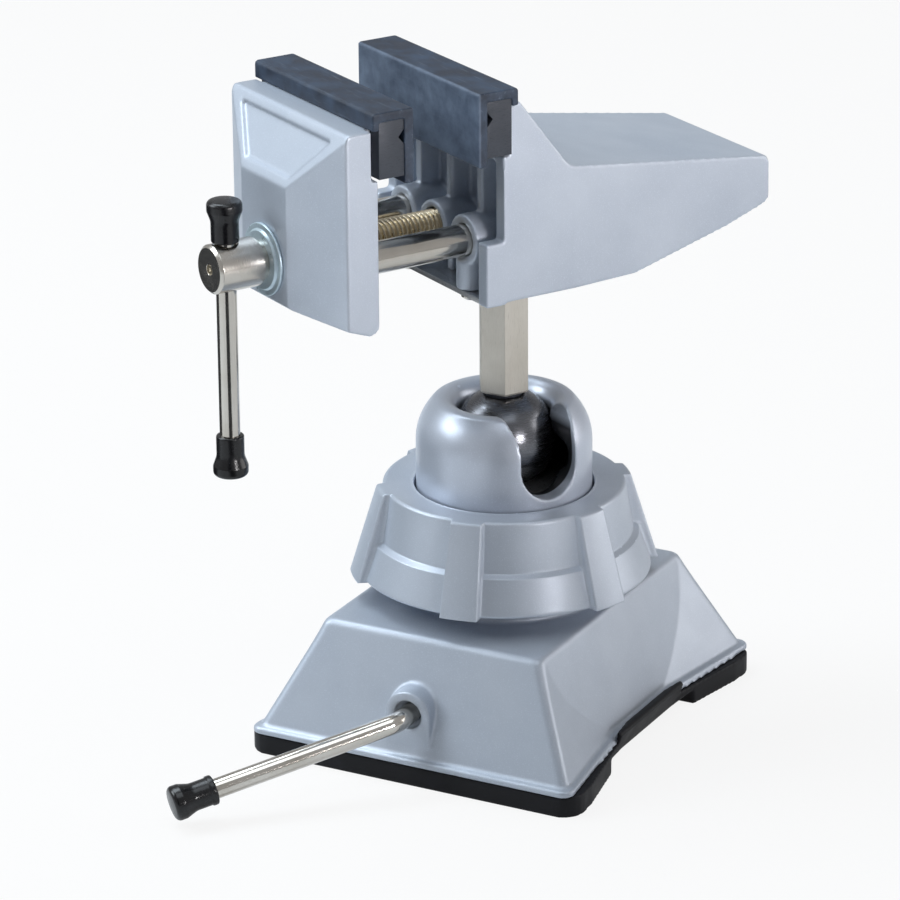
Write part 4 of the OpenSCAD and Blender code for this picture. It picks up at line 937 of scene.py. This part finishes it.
# %% [markdown]
# ## Inner pieces
# What sits inside the base and behind the jaws keeps its solid. Each still gets a real finish, because
# a pose or a view from below can bring it into sight.

# %% Finishes for the carried-over solids
for node, material in {
        "pad_plate": zinc_steel, "pull_yoke": zinc_steel, "lever_cam": zinc_steel, "cam_pin": zinc_steel,
        "lever_clip": dark_steel, "ball_seat": zinc_steel, "lead_nut": plain_brass,
        "rear_plate_screws": dark_steel, "front_plate_screws": dark_steel, "screw_clip": dark_steel}.items():
    nodes[node].data.materials.clear()
    nodes[node].data.materials.append(material)

# %% [markdown]
# ## Studio
# A pale sweep, large soft lamps from the left and above, one low behind on the right, and a small one
# for the head's side alone, which a flag keeps off the base. The world is white to the camera and grey
# to reflections. Dark cards that only reflections can see stand and lie round the vise, as a
# photographer sets them: without them, bright rod would have no dark line.


# %% Floor and backdrop
FLOOR_SEEN, FLOOR_MIRRORED = 0.88, 0.3


def studio_floor():
    wide, deep, rise, corner = 4.0, 3.0, 3.0, 1.0
    away = -back.normalized()
    away = Vector((away.x, away.y, 0)).normalized()
    across = Vector((away.y, -away.x, 0))
    line = [(-2.0, 0.0), (deep - corner, 0.0)]
    line += [(deep - corner + corner * sin(w), corner - corner * cos(w))
             for w in np.linspace(0, pi / 2, 12)[1:]]
    line += [(deep, rise)]
    vertices = [away * d + across * s + Vector((0, 0, z)) for d, z in line for s in (-wide, wide)]
    mesh = bpy.data.meshes.new("studio_floor")
    mesh.from_pydata(vertices, [], [[2 * i, 2 * i + 2, 2 * i + 3, 2 * i + 1]
                                    for i in range(len(line) - 1)])
    floor = bpy.data.objects.new("studio_floor", mesh)
    bpy.context.collection.objects.link(floor)
    white = (0.86, 0.865, 0.87, 1)
    material, tree, shader = new_finish("studio_white", Base_Color=white, Roughness=0.7)
    ray = add(tree, "ShaderNodeLightPath").outputs
    mirrored = maths(tree, "MAXIMUM", ray["Is Glossy Ray"], ray["Is Transmission Ray"])
    seen = maths(tree, "MAXIMUM", maths(tree, "MULTIPLY", ray["Is Camera Ray"], FLOOR_SEEN),
                 maths(tree, "MULTIPLY", mirrored, FLOOR_MIRRORED))
    glow = add(tree, "ShaderNodeEmission", {"Color": (1, 1, 1, 1), "Strength": 1.0})
    mix = add(tree, "ShaderNodeMixShader", {0: seen, 1: shader.outputs[0], 2: glow.outputs[0]})
    tree.links.new(mix.outputs[0], tree.nodes["Material Output"].inputs["Surface"])
    mesh.materials.append(material)


studio_floor()


# %% Lamps
def area_lamp(name, azimuth, elevation, distance, size, tint, power):
    """A square lamp that looks at the middle of the vise."""
    lamp_data = bpy.data.lights.new(name, "AREA")
    lamp_data.shape = "SQUARE"
    lamp_data.size = size
    lamp_data.energy = power
    lamp_data.color = tint
    lamp = bpy.data.objects.new(name, lamp_data)
    bpy.context.collection.objects.link(lamp)
    way = Vector((sin(azimuth) * cos(elevation), -cos(azimuth) * cos(elevation), sin(elevation)))
    lamp.location = way * distance + Vector((0, 0, 0.1))
    lamp.rotation_euler = way.to_track_quat("Z", "Y").to_euler()


area_lamp("key_left", AZIMUTH - radians(90), radians(35), 1.7, 0.9, (0.86, 0.94, 1.0), 16)
area_lamp("top_left", AZIMUTH - radians(125), radians(65), 1.7, 0.9, (0.82, 0.92, 1.0), 16)
area_lamp("top_front", AZIMUTH + radians(15), radians(68), 1.7, 0.9, (0.86, 0.94, 1.0), 5)
area_lamp("low_right", AZIMUTH + radians(95), radians(12), 1.7, 1.1, (1.0, 0.98, 0.97), 8.5)
area_lamp("head_side", AZIMUTH + radians(36), radians(10), 1.2, 0.2, (1.0, 0.97, 0.98), 6.5)


# %% Dark cards and the flag
def black_card(name, corners, tone=0.02, shades=False):
    """A dark card between corners in metres. Only reflections see it, or it only shades a lamp."""
    mesh = bpy.data.meshes.new(name)
    mesh.from_pydata(corners, [], [list(range(len(corners)))])
    card = bpy.data.objects.new(name, mesh)
    bpy.context.collection.objects.link(card)
    cloth = new_finish(name + "_cloth", Base_Color=(tone, tone, tone * 1.1, 1), Roughness=1.0)[0]
    mesh.materials.append(cloth)
    for sight in ("visible_camera", "visible_diffuse", "visible_transmission"):
        setattr(card, sight, False)
    card.visible_shadow = shades
    card.visible_glossy = not shades


def standing(azimuth, away, width, low, high):
    """Corners of a card that stands across one direction."""
    middle = Vector((sin(azimuth), -cos(azimuth), 0)) * away
    across = Vector((cos(azimuth), sin(azimuth), 0)) * width / 2
    return [middle + across * side + Vector((0, 0, z))
            for side, z in ((-1, low), (1, low), (1, high), (-1, high))]


def fan(first, last, near, far):
    """Corners of a card that lies on the floor between two directions."""
    ways = [Vector((sin(w), -cos(w), 0)) for w in np.linspace(first, last, 12)]
    return [way * near + Vector((0, 0, 0.002)) for way in ways] + \
           [way * far + Vector((0, 0, 0.002)) for way in ways[::-1]]


black_card("card_front", standing(AZIMUTH - radians(6), 1.9, 0.7, 0.0, 1.7))
black_card("card_floor", fan(AZIMUTH - radians(20), AZIMUTH + radians(12), 0.2, 1.9))
black_card("card_left", fan(AZIMUTH - radians(140), AZIMUTH - radians(85), 0.2, 1.9))
black_card("flag_under_head", standing(AZIMUTH + radians(36), 0.6, 0.6, 0.0, 0.205), shades=True)

# %% Sky
SKY_LIGHT, SKY_MIRRORED = 0.04, 0.42
world = bpy.data.worlds.new("studio_sky")
world.use_nodes = True
sky = world.node_tree
ray = add(sky, "ShaderNodeLightPath").outputs
mirrored = maths(sky, "MAXIMUM", ray["Is Glossy Ray"], ray["Is Transmission Ray"])
seen = maths(sky, "MAXIMUM", ray["Is Camera Ray"], maths(sky, "MULTIPLY", mirrored, SKY_MIRRORED))
sky.nodes["Background"].inputs["Color"].default_value = (0.985, 0.99, 1.0, 1)
sky.links.new(remap(sky, seen, 0.0, 1.0, SKY_LIGHT, 1.0), sky.nodes["Background"].inputs["Strength"])
bpy.context.scene.world = world
bpy.context.scene.view_settings.view_transform = "Standard"
